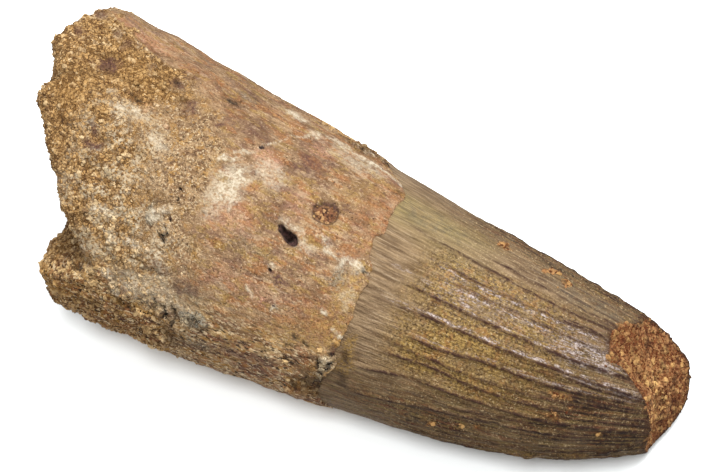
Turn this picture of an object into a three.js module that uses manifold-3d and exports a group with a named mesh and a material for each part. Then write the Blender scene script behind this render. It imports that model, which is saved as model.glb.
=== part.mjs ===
// A fossil spinosaur tooth, lying on its side as it rests on a table.
//
// It is one piece. The ribbed enamel crown is broken off short of its tip, on a slant, and the break
// shows the sandstone that filled the tooth. The stout root stands a little proud of the crown at a
// ragged line, and its far end is wrapped in rough sandstone that cements on as lumps and ledges.
//
// Millimetres, +Z up. +X runs along the tooth from the root to the broken tip. The origin is on the
// surface that the tooth rests on, under the middle of its bounding box.
// Angles go round the tooth in degrees: 0 is on top, 90 faces -Y and 180 is underneath.

import * as THREE from "three";
import { ImprovedNoise } from "three/addons/math/ImprovedNoise.js";
import { mergeVertices } from "three/addons/utils/BufferGeometryUtils.js";
import Module from "manifold-3d";

// ---- Driving dimensions ----

// Cross-sections of the tooth, which is a slightly flattened, gently bowed cone.
// y is the centre line's sideways bow; lift is how far the underside rises along the tooth.
const SECTIONS = [
  { x: -44, width: 32.6, y: 3.1, lift: 0.6 },
  { x: -34, width: 32.2, y: 1.7, lift: 0.35 },
  { x: -24, width: 31.6, y: 0.55, lift: 0.15 },
  { x: -12, width: 30.6, y: -0.2, lift: 0.05 },
  { x: 0, width: 27.7, y: 0.0, lift: 0.0 },
  { x: 12, width: 24.7, y: 0.2, lift: 0.3 },
  { x: 22, width: 21.8, y: 0.7, lift: 0.9 },
  { x: 29, width: 18.6, y: 1.8, lift: 1.5 },
  { x: 34, width: 15.2, y: 3.25, lift: 2.1 },
  { x: 38, width: 11.6, y: 4.7, lift: 2.5 },
  { x: 42, width: 9.0, y: 5.6, lift: 2.8 },
];
const FLATTENING = 0.93; // height over width
const REST_CUT = 0.55; // how much of the underside is worn flat where the tooth lies

// The crown's ribs, narrow raised lines with flat bands between them: how high each stands,
// the station where it rises out of the smooth crown, and its angles at stations 10, 20 and 30.
const RIBS = [
  { height: 0.12, rise: 16, angles: [-23, -23, -24] },
  { height: 0.2, rise: 14, angles: [-15, -13.5, -12.5] },
  { height: 0.28, rise: 8, angles: [-8, -7, -6] },
  { height: 0.32, rise: 9, angles: [2.5, 3.5, 1.5] },
  { height: 0.3, rise: 10, angles: [10.5, 11, 11.5] },
  { height: 0.34, rise: 8, angles: [20, 22, 24.5] },
  { height: 0.36, rise: 6, angles: [32.5, 31.5, 33.5] },
  { height: 0.34, rise: 8, angles: [44, 43.5, 44.5] },
  { height: 0.26, rise: 9, angles: [49.8, 51.5, 54] },
  { height: 0.26, rise: 9, angles: [57, 57, 60.5] },
  { height: 0.34, rise: 7, angles: [68.5, 65.3, 69] },
  { height: 0.18, rise: 12, angles: [77, 73, 75.5] },
  { height: 0.3, rise: 6, angles: [86.5, 80, 82.5] },
];
const PLAIN_RIB = { height: 0.26, rise: 9, pitch: 9.3 }; // ribs on the underside and far side
const RIB_HALF_WIDTH = 0.34;
const RIB_RISE_LENGTH = 8;

// The root ends on the crown at a ragged line, standing proud of it. Angle, station.
const ENAMEL_LINE = [
  [-75, 1.0], [-54, -1.6], [-42, 1.0], [-32, 3.6], [-23, 4.9], [-9, 4.8], [2, 5.4], [7, 4.8], [14, 5.1],
  [22, 6.1], [28, 6.4], [36, 5.9], [46, 6.3], [56, 5.9], [66, 5.5], [73, 6.0], [80, 5.0],
  [95, 3.8], [115, 4.4], [140, 4.2], [165, 5.3], [190, 4.7], [215, 5.6], [240, 4.4], [262, 4.6],
];
const SLEEVE = 0.3; // how far the root's edge stands proud of the crown
const SLEEVE_LENGTH = 16; // over which the root thickens towards its edge

// The crown's hidden start under the root's edge.
const TUCK = 0.6;
const BURIED_LENGTH = 3;
const BURIED_DEPTH = 0.8;

// The outline of the root's broken end, which has a deep notch above its lower lobe. Angle, station.
const ROOT_OUTLINE = [
  [-62, -34.4], [-42, -36.4], [-22, -37.6], [-8, -38.2], [5, -36.0], [18, -36.1], [32, -33.2],
  [45, -30.0], [57, -28.0], [67, -25.8], [74, -24.4], [79, -25.6], [88, -29.4], [100, -29.8],
  [130, -29.6],
  [165, -30.4], [205, -32.8], [240, -31.6], [275, -33.4],
];
const ROOT_END_MIDDLE = -28.0;
const ROOT_END_ROUNDING = 3.6;

// Sandstone crust on the root's end.
const CRUST_REACH = { full: -26, none: -13 }; // stations between which it thins out
const CRUST_THICKNESS = 0.35;
const CRUST_LUMP = 0.8; // rise and fall of the crust's lumps
const CRUST_LUMP_SIZE = 5.2;

// Lumps and hollows that stand out one by one: station, angle, radius, rise.
const RELIEF = [
  { name: "far top lobe", x: -31.0, angle: -36, radius: 6.0, rise: 0.7 },
  { name: "crust ledge", x: -23, angle: 8, radius: 5.0, rise: 0.4 },
  { name: "hollow over the ledge", x: -22, angle: -10, radius: 4.0, rise: -0.5 },
  { name: "lower lobe", x: -26.5, angle: 88, radius: 5.0, rise: 0.4 },
  { name: "far swelling", x: -20.5, angle: -48, radius: 5.0, rise: 0.4 },
  { name: "pitted hollow", x: -15.5, angle: 44, radius: 2.6, rise: -0.4 },
  { name: "hollow under the notch", x: -14, angle: 78, radius: 3.2, rise: -0.35 },
  { name: "flaked edge", x: -7.0, angle: -50, radius: 3.0, rise: 0.1 },
  { name: "crumbs at the enamel line", x: 4.2, angle: 80, radius: 1.8, rise: 0.25 },
  { name: "end lump", x: -33, angle: 205, radius: 6.5, rise: 0.8 },
  { name: "end hollow", x: -33, angle: 262, radius: 5.0, rise: -0.9 },
];

// Pits in the root: station, angle, half-length along the tooth, half-width round it, depth.
const PITS = [
  { name: "filled pit", x: -0.9, angle: 7.2, along: 1.45, around: 1.4, depth: 0.5 },
  { name: "open pit", x: -3.0, angle: 24.3, along: 1.25, around: 0.65, depth: 0.9 },
];

// The broken tip: where its slanted rim runs round the crown. Angle, station.
const BREAK_RIM = [
  [-55, 32.1], [-30, 32.0], [-20, 31.4], [-8, 30.7], [3, 30.8], [13, 32.0], [20, 33.5],
  [28, 34.8], [38, 36.0], [50, 36.8], [70, 37.5], [95, 37.3], [120, 37.1], [165, 36.9],
  [190, 37.6], [218, 38.0], [250, 37.4], [272, 36.6], [288, 33.8],
];
const BREAK_ROUGHNESS = 0.45;
const BREAK_BULGE = 0.5; // how far the middle of the break stands out

// How finely each part is divided.
const CROWN_RINGS = 10;
const BREAK_RINGS = [0.86, 0.64, 0.38, 0.14];
const ROOT_SEGMENTS = 80;
const ROOT_RINGS = 21;
const ROOT_END_RINGS = 8;

// ---- Helpers ----

const noise = new ImprovedNoise();
const radians = THREE.MathUtils.degToRad;
const fade = THREE.MathUtils.smoothstep;

/** Smooth curve through one column of SECTIONS. */
function column(name) {
  const stations = SECTIONS.map((section) => section.x);
  const values = SECTIONS.map((section) => section[name]);
  const curve = new THREE.CubicInterpolant(stations, values, 1);
  return (x) => curve.evaluate(x)[0];
}

const widthAt = column("width");
const sidewaysAt = column("y");
const liftAt = column("lift");

/** Smooth closed curve round the tooth through [angle, value] pairs in order of angle. */
function closedCurve(pairs) {
  const turns = [-360, 0, 360].flatMap((turn) => pairs.map(([angle]) => angle + turn));
  const values = [...pairs, ...pairs, ...pairs].map(([, value]) => value);
  const curve = new THREE.CubicInterpolant(turns, values, 1);
  return (angle) => curve.evaluate(angle)[0];
}

const enamelLine = closedCurve(ENAMEL_LINE);
const rootOutline = closedCurve(ROOT_OUTLINE);
const breakRim = closedCurve(BREAK_RIM);

/** Centre of the tooth at a station. */
function centreAt(x) {
  const halfHeight = (widthAt(x) * FLATTENING) / 2;
  return new THREE.Vector3(x, sidewaysAt(x), halfHeight + liftAt(x) - REST_CUT);
}

/** Point on the tooth, raised by rise along its radius. */
function skinPoint(x, angle, rise = 0) {
  const halfWidth = widthAt(x) / 2;
  const turn = radians(angle);
  const across = -Math.sin(turn) * (halfWidth + rise);
  const upward = Math.cos(turn) * (halfWidth * FLATTENING + rise);
  return centreAt(x).add(new THREE.Vector3(0, across, upward));
}

/** Layered noise, about -1 to 1, whose largest lumps are size across. */
function lumps(point, size, octaves = 3) {
  let sum = 0;
  let strength = 1;
  let scale = 1 / size;
  for (let octave = 0; octave < octaves; octave++) {
    sum += strength * noise.noise(point.x * scale, point.y * scale, point.z * scale);
    strength *= 0.5;
    scale *= 2;
  }
  return sum;
}

/** Closed skin over rings of points, with a point at each end. The rings run from -X to +X. */
function skinOver(startPoint, rings, endPoint) {
  const around = rings[0].length;
  const points = [startPoint, ...rings.flat(), endPoint];
  const last = points.length - 1;
  const at = (ring, step) => 1 + ring * around + (step % around);
  const triangles = [];
  for (let step = 0; step < around; step++) {
    triangles.push(0, at(0, step + 1), at(0, step));
    triangles.push(last, at(rings.length - 1, step), at(rings.length - 1, step + 1));
    for (let ring = 0; ring + 1 < rings.length; ring++) {
      const corner = at(ring, step);
      const beside = at(ring, step + 1);
      const beyond = at(ring + 1, step);
      const opposite = at(ring + 1, step + 1);
      triangles.push(corner, beside, opposite, corner, opposite, beyond);
    }
  }
  const geometry = new THREE.BufferGeometry().setFromPoints(points);
  geometry.setIndex(triangles);
  return geometry;
}

// ---- Crown ----

/** Every rib: the listed ones, then even steps round the rest of the crown. */
function allRibs() {
  const first = RIBS[0].angles;
  const last = RIBS[RIBS.length - 1].angles;
  const gap = 360 + first[1] - last[1];
  const count = Math.round(gap / PLAIN_RIB.pitch) - 1;
  const plain = Array.from({ length: count }, (_, i) => {
    const share = (i + 1) / (count + 1);
    const angles = last.map((angle, k) => THREE.MathUtils.lerp(angle, first[k] + 360, share));
    return { height: PLAIN_RIB.height, rise: PLAIN_RIB.rise, angles };
  });
  return [...RIBS, ...plain];
}

/** A rib's angle at a station: the parabola through its angles at stations 10, 20 and 30. */
function ribAngle({ angles: [near, middle, far] }, x) {
  const step = (x - 20) / 10;
  return middle + ((far - near) / 2) * step + ((far + near) / 2 - middle) * step * step;
}

/** Station of one of the crown's rings at an angle. The first ring is buried in the root. */
function crownStation(ring, angle) {
  const start = enamelLine(angle) - TUCK;
  if (ring === 0) return start - BURIED_LENGTH;
  return THREE.MathUtils.lerp(start, breakRim(angle), (ring - 1) / (CROWN_RINGS - 1));
}

/** Four points of the crown's ring for one rib: its two feet, its crest and the band beyond it. */
function ribPoints(rib, next, ring) {
  const x = crownStation(ring, rib.angles[1]);
  const inset = ring === 0 ? -BURIED_DEPTH : 0;
  const height = rib.height * fade(x, rib.rise, rib.rise + RIB_RISE_LENGTH) + inset;
  const foot = THREE.MathUtils.radToDeg(RIB_HALF_WIDTH / (widthAt(x) / 2));
  const crest = ribAngle(rib, x);
  const band = (crest + ribAngle(next, x)) / 2;
  return [
    skinPoint(crownStation(ring, crest - foot), crest - foot, inset),
    skinPoint(crownStation(ring, crest), crest, height),
    skinPoint(crownStation(ring, crest + foot), crest + foot, inset),
    skinPoint(crownStation(ring, band), band, inset),
  ];
}

/** One ring of the break's rough face, at a share of the way from its middle to its rim. */
function breakRing(rim, middle, share) {
  return rim.map((_, i) => {
    const edge = new THREE.Vector3();
    for (let k = -2; k <= 2; k++) edge.addScaledVector(rim.at((i + k) % rim.length), 1 / 5);
    const point = middle.clone().lerp(edge, share);
    point.x += BREAK_ROUGHNESS * lumps(point, 3.2) * Math.sqrt(1 - share);
    return point;
  });
}

/** The crown from inside the root's edge to its broken tip, with its ribs. */
function crownGeometry() {
  const ribs = allRibs();
  const nextTo = (i) => {
    if (i + 1 < ribs.length) return ribs[i + 1];
    return { ...ribs[0], angles: ribs[0].angles.map((angle) => angle + 360) };
  };
  const rings = Array.from({ length: CROWN_RINGS + 1 }, (_, ring) =>
    ribs.flatMap((rib, i) => ribPoints(rib, nextTo(i), ring)));
  const rim = rings[CROWN_RINGS];
  const middle = new THREE.Vector3();
  for (const edge of rim) middle.addScaledVector(edge, 1 / rim.length);
  middle.x += BREAK_BULGE;
  for (const share of BREAK_RINGS) rings.push(breakRing(rim, middle, share));
  return skinOver(centreAt(-TUCK - BURIED_LENGTH), rings, middle);
}

// ---- Root ----

/** How much of the sandstone crust lies at a point: 0 none, 1 full. */
function crustAt(point) {
  const patchy = 4 * lumps(point, 11, 2);
  return 1 - fade(point.x + patchy, CRUST_REACH.full, CRUST_REACH.none);
}

/** How far the root's surface stands out at a point of its smooth form. */
function rootRise(point, edge) {
  const crust = crustAt(point);
  let rise = SLEEVE * fade(point.x, edge - SLEEVE_LENGTH, edge) + 0.15 * lumps(point, 7);
  rise += crust * (CRUST_THICKNESS + CRUST_LUMP * lumps(point, CRUST_LUMP_SIZE, 4));
  for (const { x, angle, radius, rise: height } of RELIEF) {
    const away = point.distanceTo(skinPoint(x, angle)) / radius;
    rise += height * Math.exp(-2 * away * away);
  }
  return rise;
}

/** The root as one lumpy skin: its rounded broken end, its sides and a flat front inside the crown. */
function rootGeometry() {
  const core = centreAt(ROOT_END_MIDDLE + 10);
  const raise = (smooth, angle) => {
    const inner = smooth.x < core.x ? core : centreAt(smooth.x);
    const outward = smooth.clone().sub(inner).normalize();
    return smooth.clone().addScaledVector(outward, rootRise(smooth, enamelLine(angle)));
  };
  const shoulder = (angle) => rootOutline(angle) + ROOT_END_ROUNDING;
  const turns = Array.from({ length: ROOT_SEGMENTS }, (_, i) => (360 * i) / ROOT_SEGMENTS);
  const rings = [];
  for (let ring = 1; ring <= ROOT_END_RINGS; ring++) {
    const turn = radians((90 * ring) / (ROOT_END_RINGS + 1));
    const reach = Math.sin(turn) ** 0.62;
    const depth = ROOT_END_ROUNDING * Math.cos(turn) ** 0.62;
    rings.push(turns.map((angle) => {
      const x = THREE.MathUtils.lerp(ROOT_END_MIDDLE + ROOT_END_ROUNDING, shoulder(angle), reach ** 0.6);
      const smooth = centreAt(x).lerp(skinPoint(x, angle), reach);
      smooth.x -= depth;
      return raise(smooth, angle);
    }));
  }
  for (let ring = 0; ring <= ROOT_RINGS; ring++) {
    rings.push(turns.map((angle) => {
      const x = THREE.MathUtils.lerp(shoulder(angle), enamelLine(angle), ring / ROOT_RINGS);
      return raise(skinPoint(x, angle), angle);
    }));
  }
  return skinOver(raise(centreAt(ROOT_END_MIDDLE), 0), rings, centreAt(TUCK));
}

// ---- Solids ----

const wasm = await Module();
wasm.setup();

/** The closed solid of a geometry. */
function solidOf(geometry) {
  geometry.deleteAttribute("normal");
  geometry.deleteAttribute("uv");
  const merged = mergeVertices(geometry, 1e-4);
  return new wasm.Manifold(
    new wasm.Mesh({
      numProp: 3,
      vertProperties: merged.getAttribute("position").array,
      triVerts: new Uint32Array(merged.index.array),
    }),
  );
}

/** The geometry of a closed solid, moved so that its origin is under the middle of its box. */
function geometryOf(solid) {
  const mesh = solid.getMesh();
  const geometry = new THREE.BufferGeometry();
  geometry.setAttribute("position", new THREE.BufferAttribute(mesh.vertProperties, 3));
  geometry.setIndex(new THREE.BufferAttribute(mesh.triVerts, 1));
  geometry.computeBoundingBox();
  const middle = geometry.boundingBox.getCenter(new THREE.Vector3());
  geometry.translate(-middle.x, -middle.y, -geometry.boundingBox.min.z);
  geometry.computeVertexNormals();
  return geometry;
}

/** A bowl-shaped cutter for one pit, set into the surface of the root. */
function pitCutter({ x, angle, along, around, depth }) {
  const bowl = new THREE.IcosahedronGeometry(1, 2);
  bowl.scale(along, around, around);
  const mouth = skinPoint(x, angle, SLEEVE + around - depth);
  bowl.translate(mouth.x, mouth.y, mouth.z);
  return bowl;
}

/** Everything under the surface that the tooth rests on. */
function tableCutter() {
  const table = new THREE.BoxGeometry(200, 200, 50);
  table.translate(0, 0, -25);
  return table;
}

/** The whole fossil: crown and root joined, pitted and worn flat underneath. */
function toothSolid() {
  let tooth = solidOf(crownGeometry()).add(solidOf(rootGeometry()));
  for (const pit of PITS) tooth = tooth.subtract(solidOf(pitCutter(pit)));
  return tooth.subtract(solidOf(tableCutter()));
}

const tooth = new THREE.Mesh(
  geometryOf(toothSolid()),
  new THREE.MeshStandardMaterial({ color: 0x8a6a42, roughness: 0.7, metalness: 0 }),
);
tooth.name = "tooth";

const group = new THREE.Group();
group.add(tooth);

export default group;
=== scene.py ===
"""A fossil spinosaur tooth: ribbed enamel crown, stout bony root and cemented sandstone.

Lengths in the classes are millimetres and angles are degrees round the tooth: 0 is on top, 90 faces -Y
and 180 is underneath. Stations run along +X from the root to the broken tip.
"""

import logging
import math
from dataclasses import dataclass, field, replace
from enum import Enum
from functools import cached_property
from typing import Callable

import bpy
import numpy as np
from bpy.types import ID, Material, Node, NodeSocket, NodeTree, Object
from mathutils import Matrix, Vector
from mathutils.bvhtree import BVHTree


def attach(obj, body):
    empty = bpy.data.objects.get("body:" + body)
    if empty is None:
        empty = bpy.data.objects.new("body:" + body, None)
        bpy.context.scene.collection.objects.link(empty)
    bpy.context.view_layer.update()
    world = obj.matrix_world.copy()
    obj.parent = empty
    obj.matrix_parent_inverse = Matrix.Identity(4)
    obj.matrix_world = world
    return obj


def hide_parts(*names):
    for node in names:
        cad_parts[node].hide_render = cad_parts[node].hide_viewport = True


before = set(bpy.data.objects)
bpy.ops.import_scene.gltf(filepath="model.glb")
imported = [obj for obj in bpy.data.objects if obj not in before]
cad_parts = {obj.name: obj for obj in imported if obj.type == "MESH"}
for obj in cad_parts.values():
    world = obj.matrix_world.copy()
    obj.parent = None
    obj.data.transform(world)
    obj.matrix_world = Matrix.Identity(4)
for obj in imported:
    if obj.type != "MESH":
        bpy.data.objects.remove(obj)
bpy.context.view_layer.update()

MM = 0.001  # metres in a millimetre
FULL_TURN = 6.28  # radians
BODY = "root"
NODE = "tooth"

Array = np.ndarray
log = logging.getLogger("tooth")


# ---- Curves and noise ----


def fade(value: Array, low: float, high: float) -> Array:
    """Rises smoothly from 0 at low to 1 at high.

    Args:
        value: The numbers to grade.
        low: Where the rise starts.
        high: Where the rise ends.

    Returns:
        A number from 0 to 1 for each value.
    """
    share = np.clip((value - low) / (high - low), 0, 1)
    return share * share * (3 - 2 * share)


def between(value: Array, low: float, full: float, still: float, high: float) -> Array:
    """Rises smoothly from 0 to 1 between low and full, and sinks back to 0 between still and high."""
    return fade(value, low, full) * (1 - fade(value, still, high))


def unit(ways: Array) -> Array:
    """The same directions, each 1 long."""
    return ways / np.linalg.norm(ways, axis=-1, keepdims=True)


def wrapped(angle: Array) -> Array:
    """The same angle, between -180 and 180."""
    return (angle + 180) % 360 - 180


def curve_through(pairs: tuple) -> Callable[[Array], Array]:
    """A smooth curve through points, straight at its two ends.

    Args:
        pairs: (place, value) pairs in order of place.

    Returns:
        A function from places to values.
    """
    knots, levels = np.array(pairs, float).T
    padded_knots = np.concatenate([knots[1:2], knots, knots[-2:-1]])
    padded_levels = np.concatenate([levels[1:2], levels, levels[-2:-1]])

    def curve(place: Array) -> Array:
        """Reads the curve.

        Args:
            place: Places, also beyond its ends.

        Returns:
            Its values there.
        """
        place = np.clip(place, knots[0], knots[-1])
        i = np.clip(np.searchsorted(knots, place, side="right") - 1, 0, len(knots) - 2)
        before, start, end, after = (padded_knots[i + k] for k in range(4))
        low, first, second, high = (padded_levels[i + k] for k in range(4))
        pull_in = 0.5 * (end - start) / (start - before)
        pull_out = 0.5 * (end - start) / (after - end)
        p = (place - start) / (end - start)
        return (
            low * pull_in * (-(p**3) + 2 * p**2 - p)
            + first * ((1 + pull_in) * p**3 - (1.5 + 2 * pull_in) * p**2 + (pull_in - 0.5) * p + 1)
            + second * ((-1 - pull_out) * p**3 + (1.5 + pull_out) * p**2 + 0.5 * p)
            + high * pull_out * (p**3 - p**2)
        )

    return curve


def ring_curve(pairs: tuple) -> Callable[[Array], Array]:
    """A smooth closed curve round the tooth.

    Args:
        pairs: (angle, value) pairs in order of angle, within one turn.

    Returns:
        A function from angles to values.
    """
    turns = tuple((angle + turn, value) for turn in (-360, 0, 360) for angle, value in pairs)
    return curve_through(turns)


@dataclass(frozen=True)
class Noise:
    """Repeatable noise over points in space."""

    seed: int  # Each seed gives its own pattern.

    def _spread(self, cell: Array) -> Array:
        """Evenly spread whole numbers, mixed by large odd numbers.

        Args:
            cell: Cells of a grid, last axis x, y, z.

        Returns:
            One number for each cell.
        """
        mixed = cell[..., 0] * 73856093 ^ cell[..., 1] * 19349663 ^ cell[..., 2] * 83492791
        mixed = (mixed ^ self.seed * 668265263) & 0xFFFFFFFF
        mixed = ((mixed ^ (mixed >> 15)) * 739171) & 0xFFFFFFFF
        mixed = ((mixed ^ (mixed >> 13)) * 912271) & 0xFFFFFFFF
        return mixed ^ (mixed >> 16)

    def _triples(self, code: Array) -> Array:
        """Three numbers from 0 to 1 for each code."""
        return np.stack([(code >> shift & 1023) / 1023 for shift in (0, 10, 20)], -1)

    def smooth(self, points: Array, size: float) -> Array:
        """Smooth noise, about -1 to 1.

        Args:
            points: Places, last axis x, y, z.
            size: How far apart its lumps are.

        Returns:
            One number for each point.
        """
        scaled = points / size
        base = np.floor(scaled).astype(np.int64)
        part = scaled - base
        blend = part**3 * (part * (part * 6 - 15) + 10)
        total = np.zeros(points.shape[:-1])
        for corner in np.ndindex(2, 2, 2):
            slope = self._triples(self._spread(base + np.array(corner))) * 2 - 1
            weight = np.prod(np.where(np.array(corner) == 1, blend, 1 - blend), axis=-1)
            total += weight * np.sum(slope * (part - np.array(corner)), axis=-1)
        return total * 1.6

    def layered(self, points: Array, size: float, layers: int = 3) -> Array:
        """Smooth noise with finer layers, each half as strong and half as large.

        Args:
            points: Places, last axis x, y, z.
            size: Size of the largest lumps.
            layers: How many layers.

        Returns:
            One number for each point.
        """
        return sum(Noise(self.seed + k).smooth(points, size / 2**k) / 2**k for k in range(layers))

    def cells(self, points: Array, size: float) -> tuple:
        """Rounded cells packed side by side.

        Args:
            points: Places, last axis x, y, z.
            size: Width of a cell.

        Returns:
            The distance to the nearest cell's middle and how much further the next one is,
            both in cell widths, and a number from 0 to 1 that is the same all over a cell.
        """
        scaled = points / size
        base = np.floor(scaled).astype(np.int64)
        nearest = np.full(points.shape[:-1], 9.0)
        second = nearest.copy()
        tone = np.zeros(points.shape[:-1])
        for step in np.ndindex(3, 3, 3):
            cell = base + np.array(step) - 1
            code = self._spread(cell)
            away = np.linalg.norm(scaled - cell - self._triples(code), axis=-1)
            closer = away < nearest
            second = np.where(closer, nearest, np.minimum(second, away))
            nearest = np.where(closer, away, nearest)
            tone = np.where(closer, (code >> 7 & 1023) / 1023, tone)
        return nearest, second - nearest, tone


@dataclass(frozen=True)
class Lumps:
    """Uneven relief, or an uneven edge, from layered noise."""

    seed: int  # Seed of the noise.
    size: float  # Width of the largest lumps.
    height: float  # How far they reach.
    layers: int = 3  # How many layers, each half as strong and half as large as the one before.
    squeeze: float = 1.0  # Width of a lump over its length along the tooth.

    def at(self, points: Array) -> Array:
        """The unevenness at points."""
        drawn_out = points * np.array([self.squeeze, 1, 1])
        return self.height * Noise(self.seed).layered(drawn_out, self.size, self.layers)


def blurred(grid: Array, spread: float, weight: Array | None = None) -> Array:
    """A grid smoothed both ways, closed round its second axis.

    Args:
        grid: Values by row along the tooth and column round it.
        spread: Width of the smoothing, in grid steps.
        weight: How much each value counts, 0 to 1.

    Returns:
        The smoothed grid.
    """
    if weight is not None:
        return blurred(grid * weight, spread) / np.maximum(blurred(weight, spread), 1e-6)
    reach = int(3 * spread)
    steps = range(-reach, reach + 1)
    pull = np.exp(-0.5 * (np.array(steps) / spread) ** 2)
    pull /= pull.sum()
    around = sum(p * np.roll(grid, k, axis=1) for p, k in zip(pull, steps))
    padded = np.pad(around, ((reach, reach), (0, 0)), mode="edge")
    rows = grid.shape[0]
    return sum(p * padded[reach + k : reach + k + rows] for p, k in zip(pull, steps))


# ---- The tooth's form ----


@dataclass(frozen=True)
class ToothForm:
    """The smooth form under the relief, a slightly flattened, gently bowed cone."""

    # Station, width, sideways bow of the centre line, rise of the underside.
    sections: tuple = (
        (-44, 32.6, 3.1, 0.6), (-34, 32.2, 1.7, 0.35), (-24, 31.6, 0.55, 0.15),
        (-12, 30.6, -0.2, 0.05), (0, 27.7, 0.0, 0.0), (12, 24.7, 0.2, 0.3), (22, 21.8, 0.7, 0.9),
        (29, 18.6, 1.8, 1.5), (34, 15.2, 3.25, 2.1), (38, 11.6, 4.7, 2.5), (42, 9.0, 5.6, 2.8),
    )
    flattening: float = 0.93  # Height over width.
    rest_cut: float = 0.55  # How much of the underside is worn flat.
    # Where the root ends on the crown. Angle, station.
    enamel_line: tuple = (
        (-75, 1.0), (-54, -1.6), (-42, 1.0), (-32, 3.6), (-23, 4.9), (-9, 4.8), (2, 5.4), (7, 4.8),
        (14, 5.1), (22, 6.1), (28, 6.4), (36, 5.9), (46, 6.3), (56, 5.9), (66, 5.5), (73, 6.0),
        (80, 5.0), (95, 3.8), (115, 4.4), (140, 4.2), (165, 5.3), (190, 4.7), (215, 5.6),
        (240, 4.4), (262, 4.6),
    )
    # The outline of the root's broken end. Angle, station.
    root_outline: tuple = (
        (-62, -34.4), (-42, -36.4), (-22, -37.6), (-8, -38.2), (5, -36.0), (18, -36.1),
        (32, -33.2), (45, -30.0), (57, -28.0), (67, -25.8), (74, -24.4), (79, -25.6), (88, -29.4),
        (100, -29.8), (130, -29.6), (165, -30.4), (205, -32.8), (240, -31.6), (275, -33.4),
    )
    root_end_middle: float = -28.0  # Station of the broken end's hollow middle.
    root_end_rounding: float = 3.6  # How round its edge is.
    # Where the broken tip's rim runs. Angle, station.
    break_rim: tuple = (
        (-55, 32.1), (-30, 32.0), (-20, 31.4), (-8, 30.7), (3, 30.8), (13, 32.0), (20, 33.5),
        (28, 34.8), (38, 36.0), (50, 36.8), (70, 37.5), (95, 37.3), (120, 37.1), (165, 36.9),
        (190, 37.6), (218, 38.0), (250, 37.4), (272, 36.6), (288, 33.8),
    )
    origin_shift: tuple = (-0.6, -0.655, 0.0)  # From the sections' own stations to the part's origin.

    @cached_property
    def _columns(self) -> tuple:
        """Curves of the width, the bow and the underside's rise."""
        return tuple(curve_through(tuple((row[0], row[k]) for row in self.sections)) for k in (1, 2, 3))

    def half_width(self, station: Array) -> Array:
        """Half the tooth's width at stations."""
        return self._columns[0](station) / 2

    def centre(self, station: Array) -> Array:
        """Centre of the tooth at stations."""
        bow, lift = self._columns[1](station), self._columns[2](station)
        height = self.half_width(station) * self.flattening + lift - self.rest_cut
        return np.stack([np.broadcast_to(station, height.shape) * 1.0, bow, height], -1)

    def skin(self, station: Array, angle: Array, rise: float = 0.0) -> Array:
        """Points on the smooth form.

        Args:
            station: Stations of the points.
            angle: Their angles.
            rise: How far to stand out from it.

        Returns:
            Points, last axis x, y, z.
        """
        half = self.half_width(station)
        turn = np.radians(angle)
        across = -np.sin(turn) * (half + rise)
        upward = np.cos(turn) * (half * self.flattening + rise)
        return self.centre(station) + np.stack([0 * across, across, upward], -1)

    def at_origin(self, points: Array) -> Array:
        """Points in metres from the part's origin, none of them under the flat it rests on."""
        moved = points + np.array(self.origin_shift)
        moved[..., 2] = np.maximum(moved[..., 2], 0.0)
        return moved * MM


class PackedSolid:
    """The solid tooth's own surface, which the fine skins are laid on."""

    def __init__(self, node: Object, form: ToothForm) -> None:
        """Keeps the solid's faces ready for rays.

        Args:
            node: The solid's object.
            form: The tooth's form, whose stations the rays use.
        """
        corners = np.empty(len(node.data.vertices) * 3)
        node.data.vertices.foreach_get("co", corners)
        corners = corners.reshape(-1, 3) / MM - np.array(form.origin_shift)
        faces = [tuple(face.vertices) for face in node.data.polygons]
        self.tree = BVHTree.FromPolygons(corners.tolist(), faces)

    def rise(self, smooth: Array, outward: Array, reach: float = 4.0) -> Array:
        """How far the solid stands out from a smooth form.

        Args:
            smooth: Points of the smooth form.
            outward: Which way is out at each.
            reach: How far off the solid can be.

        Returns:
            The distance along outward at each point, and not a number where nothing is met.
        """
        starts = (smooth + outward * reach).reshape(-1, 3)
        found = np.full(len(starts), np.nan)
        for i, (start, way) in enumerate(zip(starts, outward.reshape(-1, 3))):
            distance = self.tree.ray_cast(Vector(start), Vector(-way), 2 * reach)[3]
            if distance is not None:
                found[i] = reach - distance
        return found.reshape(smooth.shape[:-1])


# ---- Marks on the surface ----


class Stain(Enum):
    """The colour marks that a skin carries, each in an attribute of that name."""

    PALE = "pale"
    RUST = "rust"
    PINK = "pink"
    MAUVE = "mauve"
    BROWN = "brown"
    DARK = "dark"
    GREY = "grey"
    GOLD = "gold"


@dataclass(frozen=True)
class Patch:
    """A stained, crusted or pitted spot."""

    stain: Stain  # Its colour.
    station: float  # Station of its middle.
    angle: float  # Angle of its middle.
    along: float  # Half its length along the tooth.
    around: float  # Half its width round the tooth.
    strength: float = 1.0  # How strong the colour is.
    rise: float = 0.0  # How far it stands out, or sinks where it is negative.
    turn: float = 0.0  # Degrees that its length turns towards larger angles.
    soft: float = 0.5  # How soft its edge is, from 0 to 1.


@dataclass(frozen=True)
class Vein:
    """A thin stained line."""

    stain: Stain  # Its colour.
    path: tuple  # (station, angle) points that it runs through.
    width: float  # Half its width.
    strength: float = 1.0  # How strong the colour is.
    rise: float = 0.0  # How far it stands out.


def patches(stain: Stain, *rows: tuple) -> tuple:
    """Patches of one stain. A row is station, angle, along, around, strength, rise, turn and soft."""
    return tuple(Patch(stain, *row) for row in rows)


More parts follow.
